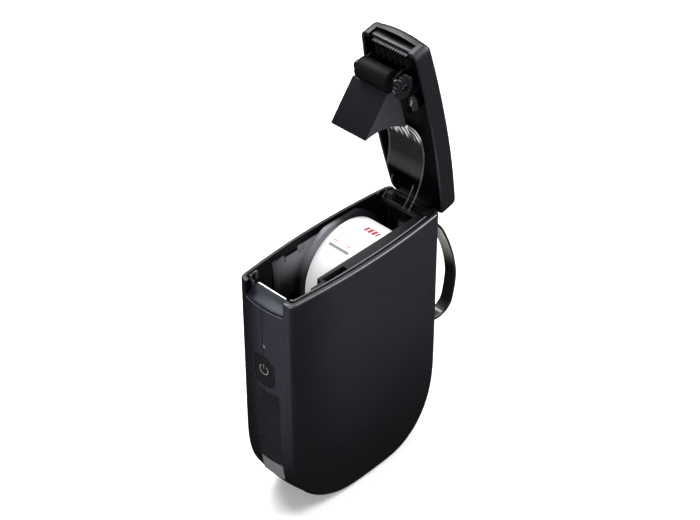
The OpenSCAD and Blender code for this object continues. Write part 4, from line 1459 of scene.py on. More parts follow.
@dataclass
class Case:
    """The two body shells."""

    form: BodyForm
    hinge: Span
    wall: float = 1.8
    rim_round: float = 0.8
    lip_round: float = 0.3
    rim_steps: int = 5
    rim_from: float = -8.0
    rim_tilt: Span = (0.05, 0.99)
    seam_x: float = -0.4
    seam_gap: float = 0.14
    seam_groove: float = 0.22
    seam_angle: float = 0.6
    notch: Span = (8.85, 6.7)
    button: Point = (9.5, 13.0, 3.3)
    button_z: float = 66.0
    light_z: float = 76.7
    light_r: float = 0.9
    strap_slot: Point = (5.5, 2.0, 0.5)
    strap_heights: Span = (88.3, 40.5)
    socket: Point = (3.7, 9.5, 1.85)
    socket_place: Span = (6.6, 30.0)
    hinge_half: float = 10.2
    hinge_room: Span = (3.0, 1.8)
    back_round: float = 1.9
    over: float = 1.0
    under: float = 2.0

    def cup(self) -> Piece:
        """Whole case with its wall and rounded rim, before its openings."""
        form, top, steps = self.form, self.form.height, self.rim_steps
        levels = steps_between(form.shoulder, top - self.rim_round, 5)[1:-1]
        rings = form.bottom_rings(0.0) + [form.plan(0.0, z) for z in levels]
        rings += form.edge_rings(self.rim_round, 0.0, top, (1, -1), steps)
        rings += reversed(form.edge_rings(self.lip_round, self.wall, top, (-1, -1), steps))
        rings += reversed(form.bottom_rings(self.wall))
        return Workshop.loft("case_cup", rings)

    def openings(self) -> list[Piece]:
        """Tools for the openings, in groups that don't touch each other."""
        form, top = self.form, self.form.height + self.over
        front = (form.front - self.over, form.front + self.wall + self.under)
        back = (form.back - self.wall - self.under, form.back + self.over)
        lamp = (2 * self.light_r, 2 * self.light_r, self.light_r)
        holes = [
            ("button_hole", self.button, (0.0, self.button_z), front),
            ("light_hole", lamp, (0.0, self.light_z), front),
            ("socket_hole", self.socket, self.socket_place, back),
            *(("slot", self.strap_slot, (0.0, z), back) for z in self.strap_heights),
        ]
        half, deep = self.notch
        tools = [Workshop.block("notch", (-half, half), front, (form.height - deep, top))]
        for name, size, (x, z), depth in holes:
            outline = [(u + x, v + z) for u, v in rounded_box(*size)]
            tools.append(Workshop.deep(name, outline, depth))
        hinge_y, hinge_z = self.hinge
        r, beyond = self.back_round, form.back + self.under
        outline = [
            (hinge_y + r * math.sin(turn), hinge_z + r * math.cos(turn))
            for turn in steps_between(0.0, math.pi / 2, 16)
        ]
        outline += [(beyond, hinge_z), (beyond, top), (hinge_y, top)]
        tools.append(Workshop.across("back_round", outline, (-form.width, form.width)))
        room = Workshop.block(
            "hinge_room",
            (-self.hinge_half, self.hinge_half),
            (hinge_y - self.hinge_room[0], form.back + self.over),
            (hinge_z - self.hinge_room[1], top),
        )
        return [Workshop.join("openings", tools), room]

    def half(self, name: str, cup: Piece, side: int) -> Piece:
        """One shell with a small groove along the seam.

        Args:
            name: Name of the shell.
            cup: Whole case.
            side: -1 for the left shell, 1 for the right.

        Returns:
            The shell.
        """
        form = self.form
        made = Workshop.show(name, cup.data.copy())
        seam = self.seam_x + side * self.seam_gap / 2
        width, height = tuple(sorted((seam, side * form.width))), (-form.height, 2 * form.height)
        room = Workshop.block("side", width, (-form.depth, form.depth), height)
        Workshop.carve(made, room, "INTERSECT")
        shell = bmesh.new()
        shell.from_mesh(made.data)
        edges = [
            edge
            for edge in shell.edges
            if all(abs(vert.co.x - seam * MM) < TOUCH for vert in edge.verts)
            and len(edge.link_faces) == 2
            and edge.calc_face_angle(0.0) > self.seam_angle
        ]
        groove = {"offset": self.seam_groove * MM, "segments": 2, "profile": 0.5}
        bmesh.ops.bevel(shell, geom=edges, affect="EDGES", clamp_overlap=True, **groove)
        shell.to_mesh(made.data)
        shell.free()
        return Workshop.soften(made)

    def is_inner(self, face: Face) -> bool:
        """Whether a face looks into the case."""
        return face.normal.x * face.center.x + face.normal.y * face.center.y < 0

    def is_edge(self, face: Face) -> bool:
        """Whether a face belongs to the lit part of the rim's rounded outer edge."""
        low, high = self.rim_tilt
        top = face.center.z > (self.form.height - self.rim_round) * MM
        lit = face.center.x > self.rim_from * MM
        return top and lit and low < face.normal.z < high and not self.is_inner(face)

    def build(self) -> None:
        """Makes and dresses both shells."""
        cup = self.cup()
        for tool in self.openings():
            Workshop.carve(cup, tool)
        for name, node, side in (("case_left", "left_shell", -1), ("case_right", "right_shell", 1)):
            shell = dress(self.half(name, cup, side), CASE_PLASTIC, Body.CASE, Slot.CASE, [node])
            # Faces that look into the case are near-black, painted shade.
            trim(shell, INNER_SHADE, self.is_inner)
            # The lit part of the rim's outer edge gets the paler, glossier finish, a painted
            # highlight.
            trim(shell, RIM_HIGHLIGHT, self.is_edge)
        Workshop.discard(cup)


@dataclass
class RollBay:
    """Inner frame with the paper exit tray and the print head."""

    form: BodyForm
    tray_half: float = 8.7
    tray_low: float = 92.9
    tray_gap: float = 0.1
    tray_play: float = 0.02
    tray_steps: int = 24
    tray_line: float = 0.3
    line_share: float = 0.9
    line_tilt: float = -0.5
    tray_under: tuple[Span, ...] = ((0.0, 0.0), (1.6, 0.25))
    tray_over: tuple[Span, ...] = ((2.6, 2.1), (0.8, 1.5), (0.0, 1.4))
    tray_rise: Span = (2.0, 3.65)
    bead: tuple[float, float, float, float] = (3.05, 0.74, 0.35, 0.6)
    bead_x: float = 8.7
    bead_back: float = 33.0
    bead_drop: float = 0.55
    wall_boxes: tuple[Box, ...] = (
        ((-12.2, -11.55), (-21.2, -18.4), (80.0, 96.5)),
        ((-12.2, -11.72), (-15.3, -8.6), (93.0, 95.6)),
        ((-12.2, -11.45), (-21.7, -19.6), (95.2, 97.0)),
        ((5.15, 5.5), (-17.2, -5.2), (80.0, 96.2)),
    )
    hook_boxes: tuple[Box, ...] = (
        ((-11.6, -10.3), (-33.4, -32.2), (96.4, 98.9)),
        ((-11.6, -10.9), (-32.4, -29.6), (97.9, 98.9)),
        ((-11.6, -10.5), (-30.4, -29.4), (95.6, 98.9)),
        ((-11.2, -9.75), (-33.0, -31.9), (93.2, 96.6)),
    )

    def section(self, x: float) -> Ring:
        """Side-view outline of the tray at a place across the body.

        Args:
            x: Place across the body.

        Returns:
            The outline's points.
        """
        low, back = self.tray_low, span("print_head", 1)[0] - self.tray_gap
        front = self.form.front_at(x, low) + self.tray_play
        share = (back - front) / (back - self.form.front)
        under = [(front + y * share, low + z) for y, z in self.tray_under]
        over = [(front + y * share, low + z) for y, z in self.tray_over]
        under.append((back, low + self.tray_rise[0]))
        over = [(back, low + self.tray_rise[1]), *over, (front, low + self.tray_line)]
        line = smooth_line(under, steps=5) + smooth_line(over, steps=5)
        return [(x, y, z) for y, z in line]

    def tray(self) -> Piece:
        """Smoky scoop that leads the printed label out."""
        places = steps_between(-self.tray_half, self.tray_half, self.tray_steps)
        tray = Workshop.loft("exit_tray", [self.section(x) for x in places])
        return Workshop.soften(tray, edge=0.15)

    def is_highlight_line(self, face: Face) -> bool:
        """Whether a face belongs to the painted highlight line along the tray's front."""
        low = face.center.z < (self.tray_low + self.tray_line * self.line_share) * MM
        return low and face.normal.y < self.line_tilt

    def lip(self) -> Piece:
        """Round bead on the ledge's upright lip, from the front corner to the hinge."""
        form, (inset, width, rise, depth) = self.form, self.bead
        path = [(x, y) for x, y in form.half_plan(inset) if x > self.bead_x and y < self.bead_back]
        turns, half = steps_between(0.0, math.pi, 8), width / 2
        section = [(half * math.cos(turn), rise * math.sin(turn)) for turn in turns]
        section += [(-half, -depth), (half, -depth)]
        top = form.height - self.bead_drop
        rings = []
        for i, (x, y) in enumerate(path):
            along = heading(path, i)
            rings.append([(x + along.y * u, y - along.x * u, top + v) for u, v in section])
        return Workshop.soften(Workshop.loft("rim_lip", rings))

    def build(self) -> None:
        """Makes and dresses the bay's pieces."""
        # The ledge's bead gets the paler, glossier finish, a painted highlight.
        dress(self.lip(), RIM_HIGHLIGHT, Body.CASE, Slot.INNER)
        # The bay's wall pieces and inner frame carry the painted reflection of the roll beside them.
        wall = Workshop.blocks("bay_wall", self.wall_boxes, edge=0.12)
        dress(wall, BAY_PLASTIC, Body.CASE, Slot.INNER)
        hooks = Workshop.blocks("corner_hooks", self.hook_boxes, edge=0.2, segments=3)
        # The corner hooks are lighter than the case, a painted highlight.
        dress(hooks, LATCH_PLASTIC, Body.CASE, Slot.INNER)
        tray = dress(self.tray(), SMOKED_TRAY, Body.CASE, Slot.SMOKED, ["paper_exit_tray"])
        # The tray's lower front edge gets a pale painted highlight.
        trim(tray, TRAY_EDGE_HIGHLIGHT, self.is_highlight_line)
        dress_nodes(
            ("inner_frame", BAY_PLASTIC, 0.15, 2),
            ("print_head", HEAD_CERAMIC, 0.1, 2),
            ("head_heatsink", ALUMINIUM, 0.08, 2),
            ("head_spring", STEEL, 0.0, 2),
            ("gap_sensor", CHIP_PLASTIC, 0.08, 2),
            ("hinge_pin", STEEL, 0.15, 2),
        )


@dataclass
class FrontControls:
    """Power button with its mark, status light, and the film on the front face."""

    form: BodyForm
    button: Point = (9.1, 12.6, 3.1)
    button_z: float = 66.0
    proud: float = 0.2
    edge: float = 0.45
    least_round: float = 0.1
    cap_insets: tuple[float, ...] = (4.4, 3.2, 2.0, 1.0)
    flange: Point = (0.7, -35.6, -34.9)
    icon_z: float = 66.6
    icon_r: float = 1.95
    icon_gap: float = 38.0
    icon_line: float = 0.3
    icon_stem: Point = (0.24, 0.5, 2.45)
    icon_lift: Span = (0.03, -0.02)
    film_x: Span = (-3.4, 6.5)
    film_z: Span = (30.5, 57.2)
    film_lift: Span = (0.15, -0.06)
    tab_z: Point = (17.6, 24.6, 30.5)
    tab_lift: Span = (0.16, -0.06)
    tab_curl: float = 0.8
    curl_power: int = 4
    dome: float = 0.25
    dome_from: float = 0.06
    pipe_bore: float = 0.05

    def on_cap(self, x: float, z: float, lift: float) -> Point:
        """Point above the button's face."""
        return x, self.form.front_at(x, self.button_z) - self.proud - lift, z

    def cap_ring(self, inset: float, drop: float = 0.0, depth: float | None = None) -> Ring:
        """One ring of the button's cap.

        Args:
            inset: How far the ring is drawn in.
            drop: How far it lies below the cap's face.
            depth: Its set place along the depth, for a ring that doesn't follow the face.

        Returns:
            The ring.
        """
        width, height, radius = self.button
        r = max(radius - inset, self.least_round)
        outline = rounded_box(width - 2 * inset, height - 2 * inset, r)
        ring = [self.on_cap(x, z + self.button_z, -drop) for x, z in outline]
        return ring if depth is None else [(x, depth, z) for x, _, z in ring]

    def cap(self) -> Piece:
        """Button cap that follows the bowed front face."""
        rings = [self.cap_ring(inset) for inset in self.cap_insets]
        for turn in steps_between(0.0, math.pi / 2, 5):
            inset, drop = self.edge * (1 - math.sin(turn)), self.edge * (1 - math.cos(turn))
            rings.append(self.cap_ring(inset, drop))
        rim, front, back = self.flange
        for inset, depth in ((0.0, front), (-rim, front), (-rim, back)):
            rings.append(self.cap_ring(inset, depth=depth))
        return Workshop.soften(Workshop.loft("button_cap", rings))

    def icon(self) -> Piece:
        """Printed on-off mark: an open ring and a short line."""

        def circle(lift: float) -> Surface:
            """Surface of the ring, over turn and radius, at a height above the cap."""
            return lambda turn, r: self.on_cap(
                r * math.sin(turn), self.icon_z + r * math.cos(turn), lift
            )

        def flat(lift: float) -> Surface:
            """Surface of the line at a height above the cap."""
            return lambda x, z: self.on_cap(x, z, lift)

        gap, half = math.radians(self.icon_gap), self.icon_line / 2
        turns = steps_between(gap, math.tau - gap, 48)
        radii = steps_between(self.icon_r - half, self.icon_r + half, 2)
        width, low, high = self.icon_stem
        columns = steps_between(-width / 2, width / 2, 2)
        rows = steps_between(self.icon_z + low, self.icon_z + high, 6)
        ring = Workshop.plate("ring", turns, radii, *(circle(lift) for lift in self.icon_lift))
        line = Workshop.plate("line", columns, rows, *(flat(lift) for lift in self.icon_lift))
        return Workshop.soften(Workshop.join("button_mark", [ring, line]))

    def layer(self, name: str, levels: list[float], lifts: Span, curl: float = 0.0) -> Piece:
        """Thin layer that lies on the front face.

        Args:
            name: Name of the piece.
            levels: Rising heights of its rows.
            lifts: Heights of its two sides above the face.
            curl: How far its lower end stands off.

        Returns:
            The layer.
        """
        low, high = levels[0], levels[-1]

        def side(lift: float) -> Surface:
            """Surface at a height above the front face."""

            def point(x: float, z: float) -> Point:
                """Point at a place across the face and a height."""
                rise = lift + curl * ((high - z) / (high - low)) ** self.curl_power
                return x, self.form.front_at(x, z) - rise, z

            return point

        columns = steps_between(*self.film_x, 10)
        return Workshop.soften(Workshop.plate(name, columns, levels, *map(side, lifts)))

    def window(self) -> Piece:
        """Domed end of the light pipe."""
        _, (front, back), (low, high) = spans("led_window")
        r, turns = (high - low) / 2, steps_between(self.dome_from, math.pi / 2, 8)
        profile = [(front + self.dome * (1 - math.cos(t)), r * math.sin(t)) for t in turns]
        profile += [(back, r), (back, self.pipe_bore)]
        centre = (0.0, (low + high) / 2)
        window = Workshop.lathe("status_window", profile, centre, Axis.DEEP, steps=40)
        return Workshop.soften(window)

    def build(self) -> None:
        """Makes and dresses the front's pieces."""
        low, seam, high = self.tab_z
        dress(self.cap(), BUTTON_PLASTIC, Body.BUTTON, Slot.BUTTON, ["power_button"])
        dress(self.icon(), ICON_PRINT, Body.BUTTON)
        dress(self.window(), LIGHT_PIPE, Body.CASE, Slot.LIGHT, ["led_window"])
        film = self.layer("face_film", steps_between(*self.film_z, 20), self.film_lift)
        dress(film, CLEAR_FILM, Body.CASE, Slot.FILM, ["front_film"])
        levels = [*steps_between(low, seam, 12), *steps_between(seam, high, 10)[1:]]
        tab = self.layer("face_film_tab", levels, self.tab_lift, self.tab_curl)
        dress(tab, FROSTED_TAB, Body.CASE, Slot.FILM_TAB, ["film_tab"])
        trim(tab, CLEAR_FILM, lambda face: face.center.z > seam * MM)


@dataclass
class LabelRoll:
    """Roll of label tape on its board core."""

    edge: float = 0.12
    play: float = 0.01
    board: float = 1.0

    def build(self) -> None:
        """Makes and dresses the roll and its core."""
        x, _, (low, high) = spans("label_roll")
        axis, (front, back) = axis_of("label_roll"), span("roll_core", 1)
        core_r = (back - front) / 2
        paper = LabelPaper("label_tape", axis, (high - low) / 2, x)
        roll = Workshop.tube("paper_roll", "label_roll", core_r + self.play, self.edge)
        dress(roll, paper, Body.ROLL, Slot.PAPER, ["label_roll"])
        core = Workshop.tube("board_core", "roll_core", core_r - self.board, self.edge)
        dress(core, Cardboard("core_tube", axis), Body.ROLL, Slot.CORE, ["roll_core"])


@dataclass
class Lid:
    """Hinged lid: cover, inner frame, guide wedge and clear roll guard."""

    form: BodyForm
    hinge: Span
    opening: float
    gap: float = 0.3
    height: float = 8.0
    wall: float = 1.6
    wall_rise: float = 4.0
    top_round: float = 2.4
    edge_round: float = 0.35
    edge_steps: int = 8
    middle_rise: float = 2.0
    exit: Span = (8.75, 4.2)
    over: float = 1.0
    guard_r: Span = (24.3, 23.4)
    guard_turn: Point = (30.0, 52.0, 128.0)
    guard_tint: Colour = (0.02, 0.02, 0.0215)
    # Turns of the guard's painted highlight and the ends of its painted reflection band, in degrees
    # from its front end.
    guard_shine: Span = (-33.0, -25.0)
    guard_clear: Span = (-71.0, -66.0)
    guard_reflection_end: Span = (-61.0, -52.0)
    side_tilt: float = 0.7
    leg: float = 2.6
    boss: tuple[Span, Span] = ((5.7, 8.5), (-16.9, -11.6))
    boss_nose: float = 3.2
    boss_power: float = 0.8
    boss_z: float = 100.4
    catch: Span = (7.7, -13.6)
    catch_z: Span = (95.85, 103.4)
    catch_neck: float = 0.46
    catch_shares: tuple[Span, ...] = ((0.0, 0.4), (1.7, 0.46), (2.1, 0.62), (2.8, 0.9), (3.5, 1.0))
    catch_lit: float = 1.75
    left_catch: Span = (-12.07, -11.37)
    left_half: float = 1.8
    rib_row: tuple[int, float, float] = (6, 2.6, 0.8)
    rib_y: Span = (-34.2, -28.4)
    rib_z: Span = (99.95, 103.4)
    bar_box: Box = ((-8.5, 8.5), (-36.36, -35.09), (100.84, 102.3))

    @property
    def turned(self) -> Matrix:
        """Movement of the lid from closed to where it stands open."""
        axis = Matrix.Translation((0.0, self.hinge[0] * MM, self.hinge[1] * MM))
        return axis @ Matrix.Rotation(math.radians(self.opening), 4, "X") @ axis.inverted()

    def swing(self, piece: Piece) -> Piece:
        """Turns a piece made for the closed lid to where the lid stands open."""
        piece.data.transform(self.turned)
        return piece

    def is_inner(self, face: Face) -> bool:
        """Whether a face of the swung cover looks into the lid."""
        back = self.turned.inverted()
        middle = Vector((0.0, 0.0, (self.form.height + self.middle_rise) * MM))
        return (back.to_3x3() @ face.normal).dot(back @ face.center - middle) < 0

    def in_painted_shade(self, face: Face) -> bool:
        """Whether a face of the swung catches lies outside the lit part of the boss, and so gets
        painted shade.
        """
        z = (self.turned.inverted() @ face.center).z / MM
        return not self.catch_z[0] + self.catch_lit < z < self.boss_z

    def guard_finish(self) -> ClearSheet:
        """Clear sheet with painted highlight streaks along the guard's front end, and a painted
        reflection band further round the arc.
        """
        y, z = axis_of("label_roll")
        centre = self.turned @ Vector((0.0, y * MM, z * MM))
        end = self.guard_turn[2] + self.opening
        fades = (self.guard_shine, self.guard_clear, self.guard_reflection_end)
        shine, clear, reflection_end = ((end + first, end + last) for first, last in fades)
        return ClearSheet(
            "clear_guard",
            self.guard_tint,
            alpha=0.2,
            glow=4.6,
            centre=(centre.y / MM, centre.z / MM),
            shine=shine,
            highlight_weight=0.75,
            clear=clear,
            reflection_end=reflection_end,
        )

    def cover(self) -> Piece:
        """Outer cover with a rounded upper edge and the paper exit."""
        form, steps = self.form, self.edge_steps
        low, top = form.height + self.gap, form.height + self.height
        levels = (top - self.wall, low + self.wall_rise, low + self.edge_round)
        rings = [form.plan(self.wall, z) for z in levels]
        rings += form.edge_rings(self.edge_round, self.wall, low, (-1, 1), steps)[1:]
        rings += reversed(form.edge_rings(self.edge_round, 0.0, low, (1, 1), steps))
        rings += form.edge_rings(self.top_round, 0.0, top, (1, -1), steps)
        cover = Workshop.loft("lid_shell", rings)
        half, rise = self.exit
        exit_y = (form.front - self.over, form.front + form.front_bulge + self.wall)
        exit_z = (form.height - self.over, form.height + rise)
        Workshop.carve(cover, Workshop.block("exit", (-half, half), exit_y, exit_z))
        return self.swing(Workshop.soften(cover))

    def guard(self) -> Piece:
        """Clear arc over the roll with two narrow legs."""
        leg_end, low, high = self.guard_turn
        left, right = span("roll_guard", 0)
        first = left + self.leg / 2
        legs = ((first, first + self.leg), (right - self.leg, right))
        y, z = axis_of("label_roll")

        def arc(r: float) -> Surface:
            """Surface of the arc, over places across the body and turns."""
            return lambda x, turn: (
                x,
                y + r * math.cos(math.radians(turn)),
                z + r * math.sin(math.radians(turn)),
            )

        def keep(x: float, turn: float) -> bool:
            """Whether a cell is in the arc or in a leg."""
            return turn > low or any(start < x < end for start, end in legs)

        stops = [left, *legs[0], *legs[1]]
        columns = [x for pair in zip(stops, stops[1:]) for x in steps_between(*pair, 6)[:-1]]
        rows = steps_between(leg_end, low, 8)[:-1] + steps_between(low, high, 48)
        sides = [arc(r) for r in self.guard_r]
        guard = Workshop.plate("roll_shield", [*columns, right], rows, *sides, keep)
        return self.swing(Workshop.soften(guard, edge=0.12))

    def latches(self) -> Piece:
        """The right catch with its pointed boss, and the thin left catch."""
        (x0, x1), (y0, y1) = self.boss
        mid_x, mid_y, half = (x0 + x1) / 2, (y0 + y1) / 2, (x1 - x0) / 2
        outline = [(x0, y1)]
        for turn in steps_between(-math.pi / 2, math.pi / 2, 14):
            y = y0 + self.boss_nose * (1 - math.cos(turn) ** self.boss_power)
            outline.append((mid_x + half * math.sin(turn), y))
        outline.append((x1, y1))
        (catch_x, catch_y), (low, top) = self.catch, self.catch_z
        levels = [(low + rise, share) for rise, share in self.catch_shares]
        rings = []
        for z, share in (*levels, (self.boss_z, 1.0), (top, 1.0)):
            away = (1 - share) / (1 - self.catch_neck)
            x, y = mid_x + away * (catch_x - mid_x), mid_y + away * (catch_y - mid_y)
            flat = [((u - mid_x) * share, (v - mid_y) * share) for u, v in outline]
            rings.append([(x + u, y + v, z) for u, v in flat])
        right = Workshop.loft("right", rings)
        left_y = (catch_y - self.left_half, catch_y + self.left_half)
        left = Workshop.block("left", self.left_catch, left_y, self.catch_z)
        latches = Workshop.join("lid_latches", [right, left])
        return self.swing(Workshop.soften(latches, edge=0.12))

    def ribs(self) -> Piece:
        """Row of ribs between the tear blade and the feed roller."""
        count, pitch, thickness = self.rib_row
        half, middles = thickness / 2, [(i - (count - 1) / 2) * pitch for i in range(count)]
        boxes = [((x - half, x + half), self.rib_y, self.rib_z) for x in middles]
        return self.swing(Workshop.blocks("exit_ribs", boxes, edge=0.15))

    def build(self) -> None:
        """Makes and dresses the lid's pieces."""
        cover = dress(self.cover(), LID_PLASTIC, Body.LID, Slot.CASE, ["lid_cover"])
        # Faces that look into the lid are near-black, painted shade.
        trim(cover, INNER_SHADE, self.is_inner)
        guard = dress(self.guard(), self.guard_finish(), Body.LID, Slot.SMOKED, ["roll_guard"])
        # The guard's side edges glow faintly, a painted highlight.
        trim(guard, GUARD_EDGE_GLOW, lambda face: abs(face.normal.x) > self.side_tilt)
        latches = dress(self.latches(), LATCH_PLASTIC, Body.LID, Slot.INNER, ["lid_catches"])
        # The boss's lit part keeps the lighter latch plastic, a painted highlight; the rest of the
        # catches gets near-black painted shade.
        trim(latches, INNER_SHADE, self.in_painted_shade)
        dress(self.ribs(), RIB_PLASTIC, Body.LID, Slot.INNER)
        bar = self.swing(Workshop.blocks("exit_bar", [self.bar_box], edge=0.2, segments=3))
        dress(bar, LID_PLASTIC, Body.LID, Slot.INNER)
        # The lid frame is near-black, painted shade inside the lid.
        dress_nodes(
            ("lid_frame", INNER_SHADE, 0.15, 2),
            ("tear_blade", BLADE_PLASTIC, 0.06, 2),
            ("guide_wedge", WEDGE_PLASTIC, 0.3, 3),
            ("platen_bushes", BUSH_PLASTIC, 0.1, 2),
        )


@dataclass
class FeedRoller:
    """Rubber roller with its shaft and gear."""

    edge: float = 0.25
    shaft_r: float = 1.21
    dish_r: Span = (1.9, 2.8)
    dish_depth: float = 0.4

    def gear(self) -> Piece:
        """Gear with a moulded dish in each face."""
        x0, x1 = span("platen_gear", 0)
        axis, (inner, outer) = axis_of("platen_gear"), self.dish_r
        gear = Workshop.copy("roller_gear", frame["nodes"]["platen_gear"])
        for face, floor in ((x1, x1 - self.dish_depth), (x0, x0 + self.dish_depth)):
            over = 2 * face - floor
            profile = [(floor, inner), (floor, outer), (over, outer), (over, inner)]
            Workshop.carve(gear, Workshop.lathe("dish", profile, axis, steps=48))
        return Workshop.soften(gear, edge=0.06)

    def build(self) -> None:
        """Makes and dresses the feed roller's pieces."""
        roller = Workshop.tube("feed_roller", "platen_roller", self.shaft_r, self.edge, steps=96)
        dress(roller, ROLLER_RUBBER, Body.PLATEN, Slot.RUBBER, ["platen_roller"])
        dress(self.gear(), DARK_GEAR, Body.PLATEN, Slot.GEAR, ["platen_gear"])
        dress_nodes(("platen_shaft", SHAFT_STEEL, 0.2, 3))


@dataclass
class CarryStrap:
    """Flat band that loops out of the back face."""

    form: BodyForm
    section: Point = (5.0, 1.5, 0.5)
    inner_tilt: float = -0.3
    route: tuple[Span, ...] = (
        (-3.0, -11.2),
        (0.0, -11.2),
        (4.0, -12.2),
        (8.4, -15.6),
        (12.2, -20.2),
        (16.6, -29.6),
        (19.4, -38.4),
        (20.4, -46.4),
        (18.8, -55.8),
        (16.6, -58.8),
        (13.4, -60.2),
        (9.6, -60.0),
        (5.0, -59.2),
        (0.0, -59.0),
        (-3.0, -59.0),
    )

    def band(self) -> Piece:
        """Sweeps the band's rounded section along its route."""
        line = smooth_line(list(self.route), steps=10)
        outline = rounded_box(*self.section, steps=4)
        rings = []
        for i, (out, down) in enumerate(line):
            along, y, z = heading(line, i), self.form.back + out, self.form.height + down
            rings.append([(u, y - along.y * v, z + along.x * v) for u, v in outline])
        return Workshop.soften(Workshop.loft("carry_strap", rings))

    def build(self) -> None:
        """Makes and dresses the strap and its anchors."""
        band = dress(self.band(), STRAP_BAND, Body.CASE, Slot.STRAP, ["strap"])
        # The strap's inner face carries a painted reflection, pale at the top.
        trim(band, STRAP_REFLECTION, lambda face: face.normal.y < self.inner_tilt)
        dress_nodes(("strap_anchors", INNER_PLASTIC, 0.2, 2))


@dataclass
class Drive:
    """Motor, gears and their bracket."""

    def build(self) -> None:
        """Dresses the drive's CAD nodes."""
        dress_nodes(
            ("feed_motor", SHEET_STEEL, 0.4, 3),
            ("gear_bracket", SHEET_STEEL, 0.1, 2),
            ("gear_axles", STEEL, 0.15, 2),
            ("motor_pinion", BRASS, 0.05, 2),
            ("idler_gear", GEAR_PLASTIC, 0.06, 2),
            ("drive_gear", GEAR_PLASTIC, 0.06, 2),
        )


@dataclass
class Electronics:
    """Boards, battery, socket and switch inside the case."""

    skin: float = 0.35
    mouth: Span = (0.08, 0.1)
    corner_play: float = 0.01
    tongue: Point = (0.7, 2.4, 0.2)
    tongue_depth: float = 1.0

    def socket(self) -> Piece:
        """Drawn shell of the charging socket with its tongue."""
        (left, right), (back, front), (low, high) = spans("usb_socket")
        x, z, wide, tall = (left + right) / 2, (low + high) / 2, right - left, high - low
        skin, (lip, bend) = self.skin, self.mouth
        rings = []
        for y, inset in (
            (back, 0.0),
            (front - bend, 0.0),
            (front, lip),
            (front, skin - lip),
            (front - bend, skin),
            (back + 2 * skin, skin),
        ):
            corner = wide / 2 - inset - self.corner_play
            outline = rounded_box(wide - 2 * inset, tall - 2 * inset, corner)
            rings.append([(x + u, y, z + v) for u, v in outline])
        width, short, corner = self.tongue
        outline = [(x + u, z + v) for u, v in rounded_box(width, tall - short, corner, steps=3)]
        tongue = Workshop.deep("tongue", outline, (back + skin, front - self.tongue_depth))
        shell = Workshop.loft("shell", rings)
        return Workshop.soften(Workshop.join("charge_socket", [shell, tongue]))

    def build(self) -> None:
        """Makes the socket and dresses the CAD nodes."""
        dress(self.socket(), STEEL, Body.CASE, Slot.STEEL, ["usb_socket"])
        dress_nodes(
            ("main_board", SOLDER_MASK, 0.05, 2),
            ("button_board", SOLDER_MASK, 0.05, 2),
            ("board_chips", CHIP_PLASTIC, 0.12, 2),
            ("board_screws", STEEL, 0.15, 2),
            ("power_switch", CHIP_PLASTIC, 0.1, 2),
            ("status_led", LIGHT_PIPE, 0.1, 2),
            ("battery", POUCH_FOIL, 1.2, 4),
        )


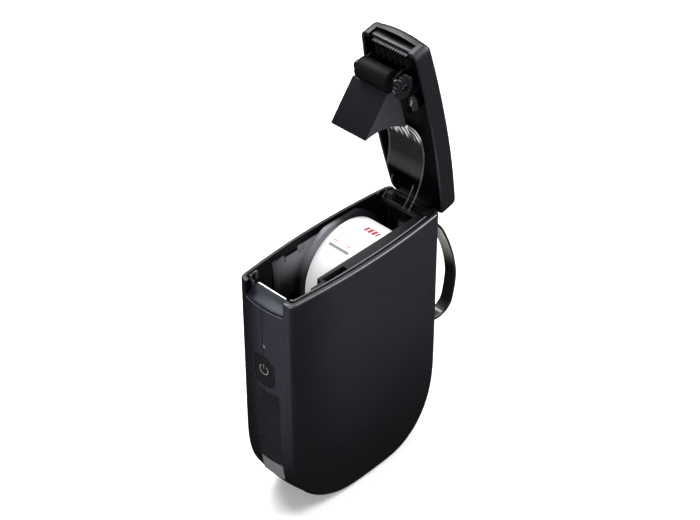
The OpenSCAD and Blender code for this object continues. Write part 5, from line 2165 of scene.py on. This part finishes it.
@dataclass
class Studio:
    """Pale floor, soft lights and the camera."""

    eye: Point = (0.36317, -0.37453, 0.49577)
    right: Point = (0.7218, 0.6921, 0.0)
    up: Point = (-0.4233, 0.4415, 0.7912)
    away: Point = (0.5476, -0.5711, 0.6116)
    lens: float = 98.63
    sensor: float = 36.0
    near: float = 0.01
    floor_reach: float = 3000.0
    aim: Point = (0.0, 0.0, 0.09)
    lamps: tuple[tuple[str, Point, float, float], ...] = (
        ("key", (-0.62, 0.1, 1.05), 0.7, 22.0),
        ("rim", (0.45, 0.75, 0.8), 0.6, 14.0),
        ("front", (0.6, -0.95, 0.5), 0.5, 12.0),
    )
    sky_colour: Colour = (0.92, 0.91, 1.0)
    sky_heights: Span = (-0.3, 0.9)
    sky_light: Span = (0.02, 0.45)

    def floor(self) -> None:
        """Large pale floor."""
        reach = self.floor_reach
        corners = [(-reach, -reach, 0), (reach, -reach, 0), (reach, reach, 0), (-reach, reach, 0)]
        floor = Workshop.piece("floor", corners, [(0, 1, 2, 3)])
        floor.data.materials.append(FLOOR_PAINT.material())
        floor.visible_glossy = False

    def lights(self) -> None:
        """Hangs soft square lights, from their places in metres, sides and watts."""
        for name, place, size, power in self.lamps:
            data = bpy.data.lights.new(name, "AREA")
            data.energy = power
            data.size = size
            lamp = Workshop.show(name, data)
            lamp.location = place
            lamp.rotation_mode = "QUATERNION"
            lamp.rotation_quaternion = (Vector(self.aim) - Vector(place)).to_track_quat("-Z", "Y")

    def sky(self) -> None:
        """Surroundings that light from above and are pale to look at."""
        world = bpy.data.worlds.new("studio")
        world.use_nodes = True
        graph = Graph(world.node_tree)
        where = graph.node("ShaderNodeTexCoord", output="Generated")
        height = graph.node("ShaderNodeSeparateXYZ", inputs={0: where}, output="Z")
        dark, light = self.sky_light
        grade = graph.ease(height, *self.sky_heights) * (light - dark) + dark
        seen = graph.node("ShaderNodeLightPath", output="Is Camera Ray")
        values = {"Color": self.sky_colour, "Strength": graph.math("MAXIMUM", grade, seen)}
        graph.end("ShaderNodeOutputWorld", graph.node("ShaderNodeBackground", inputs=values))
        bpy.context.scene.world = world
        bpy.context.scene.view_settings.view_transform = "Standard"

    def camera(self) -> None:
        """Camera at the photograph's viewing angle."""
        data = bpy.data.cameras.new("camera")
        data.lens = self.lens
        data.sensor_width = self.sensor
        data.clip_start = self.near
        camera = Workshop.show("camera", data)
        turn = Matrix((self.right, self.up, self.away)).transposed().to_4x4()
        camera.matrix_world = Matrix.Translation(self.eye) @ turn
        bpy.context.scene.camera = camera

    def build(self) -> None:
        """Makes the whole studio."""
        self.camera()
        self.floor()
        self.lights()
        self.sky()


def main() -> None:
    """Builds the sub-assemblies in order."""
    logging.basicConfig(level=logging.INFO, format="%(message)s")
    swing = next(joint for joint in frame["joints"] if joint["name"] == "lid_hinge")
    hinge = (swing["pos_m"][1] / MM, swing["pos_m"][2] / MM)
    left, right = span("left_shell", 0)[0], span("right_shell", 0)[1]
    front, back = span("right_shell", 1)
    form = BodyForm(right - left, back - front, span("right_shell", 2)[1])
    Studio().build()
    Case(form, hinge).build()
    RollBay(form).build()
    FrontControls(form).build()
    LabelRoll().build()
    Lid(form, hinge, swing["range_deg"][0]).build()
    FeedRoller().build()
    CarryStrap(form).build()
    Drive().build()
    Electronics().build()


if __name__ == "__main__":
    main()
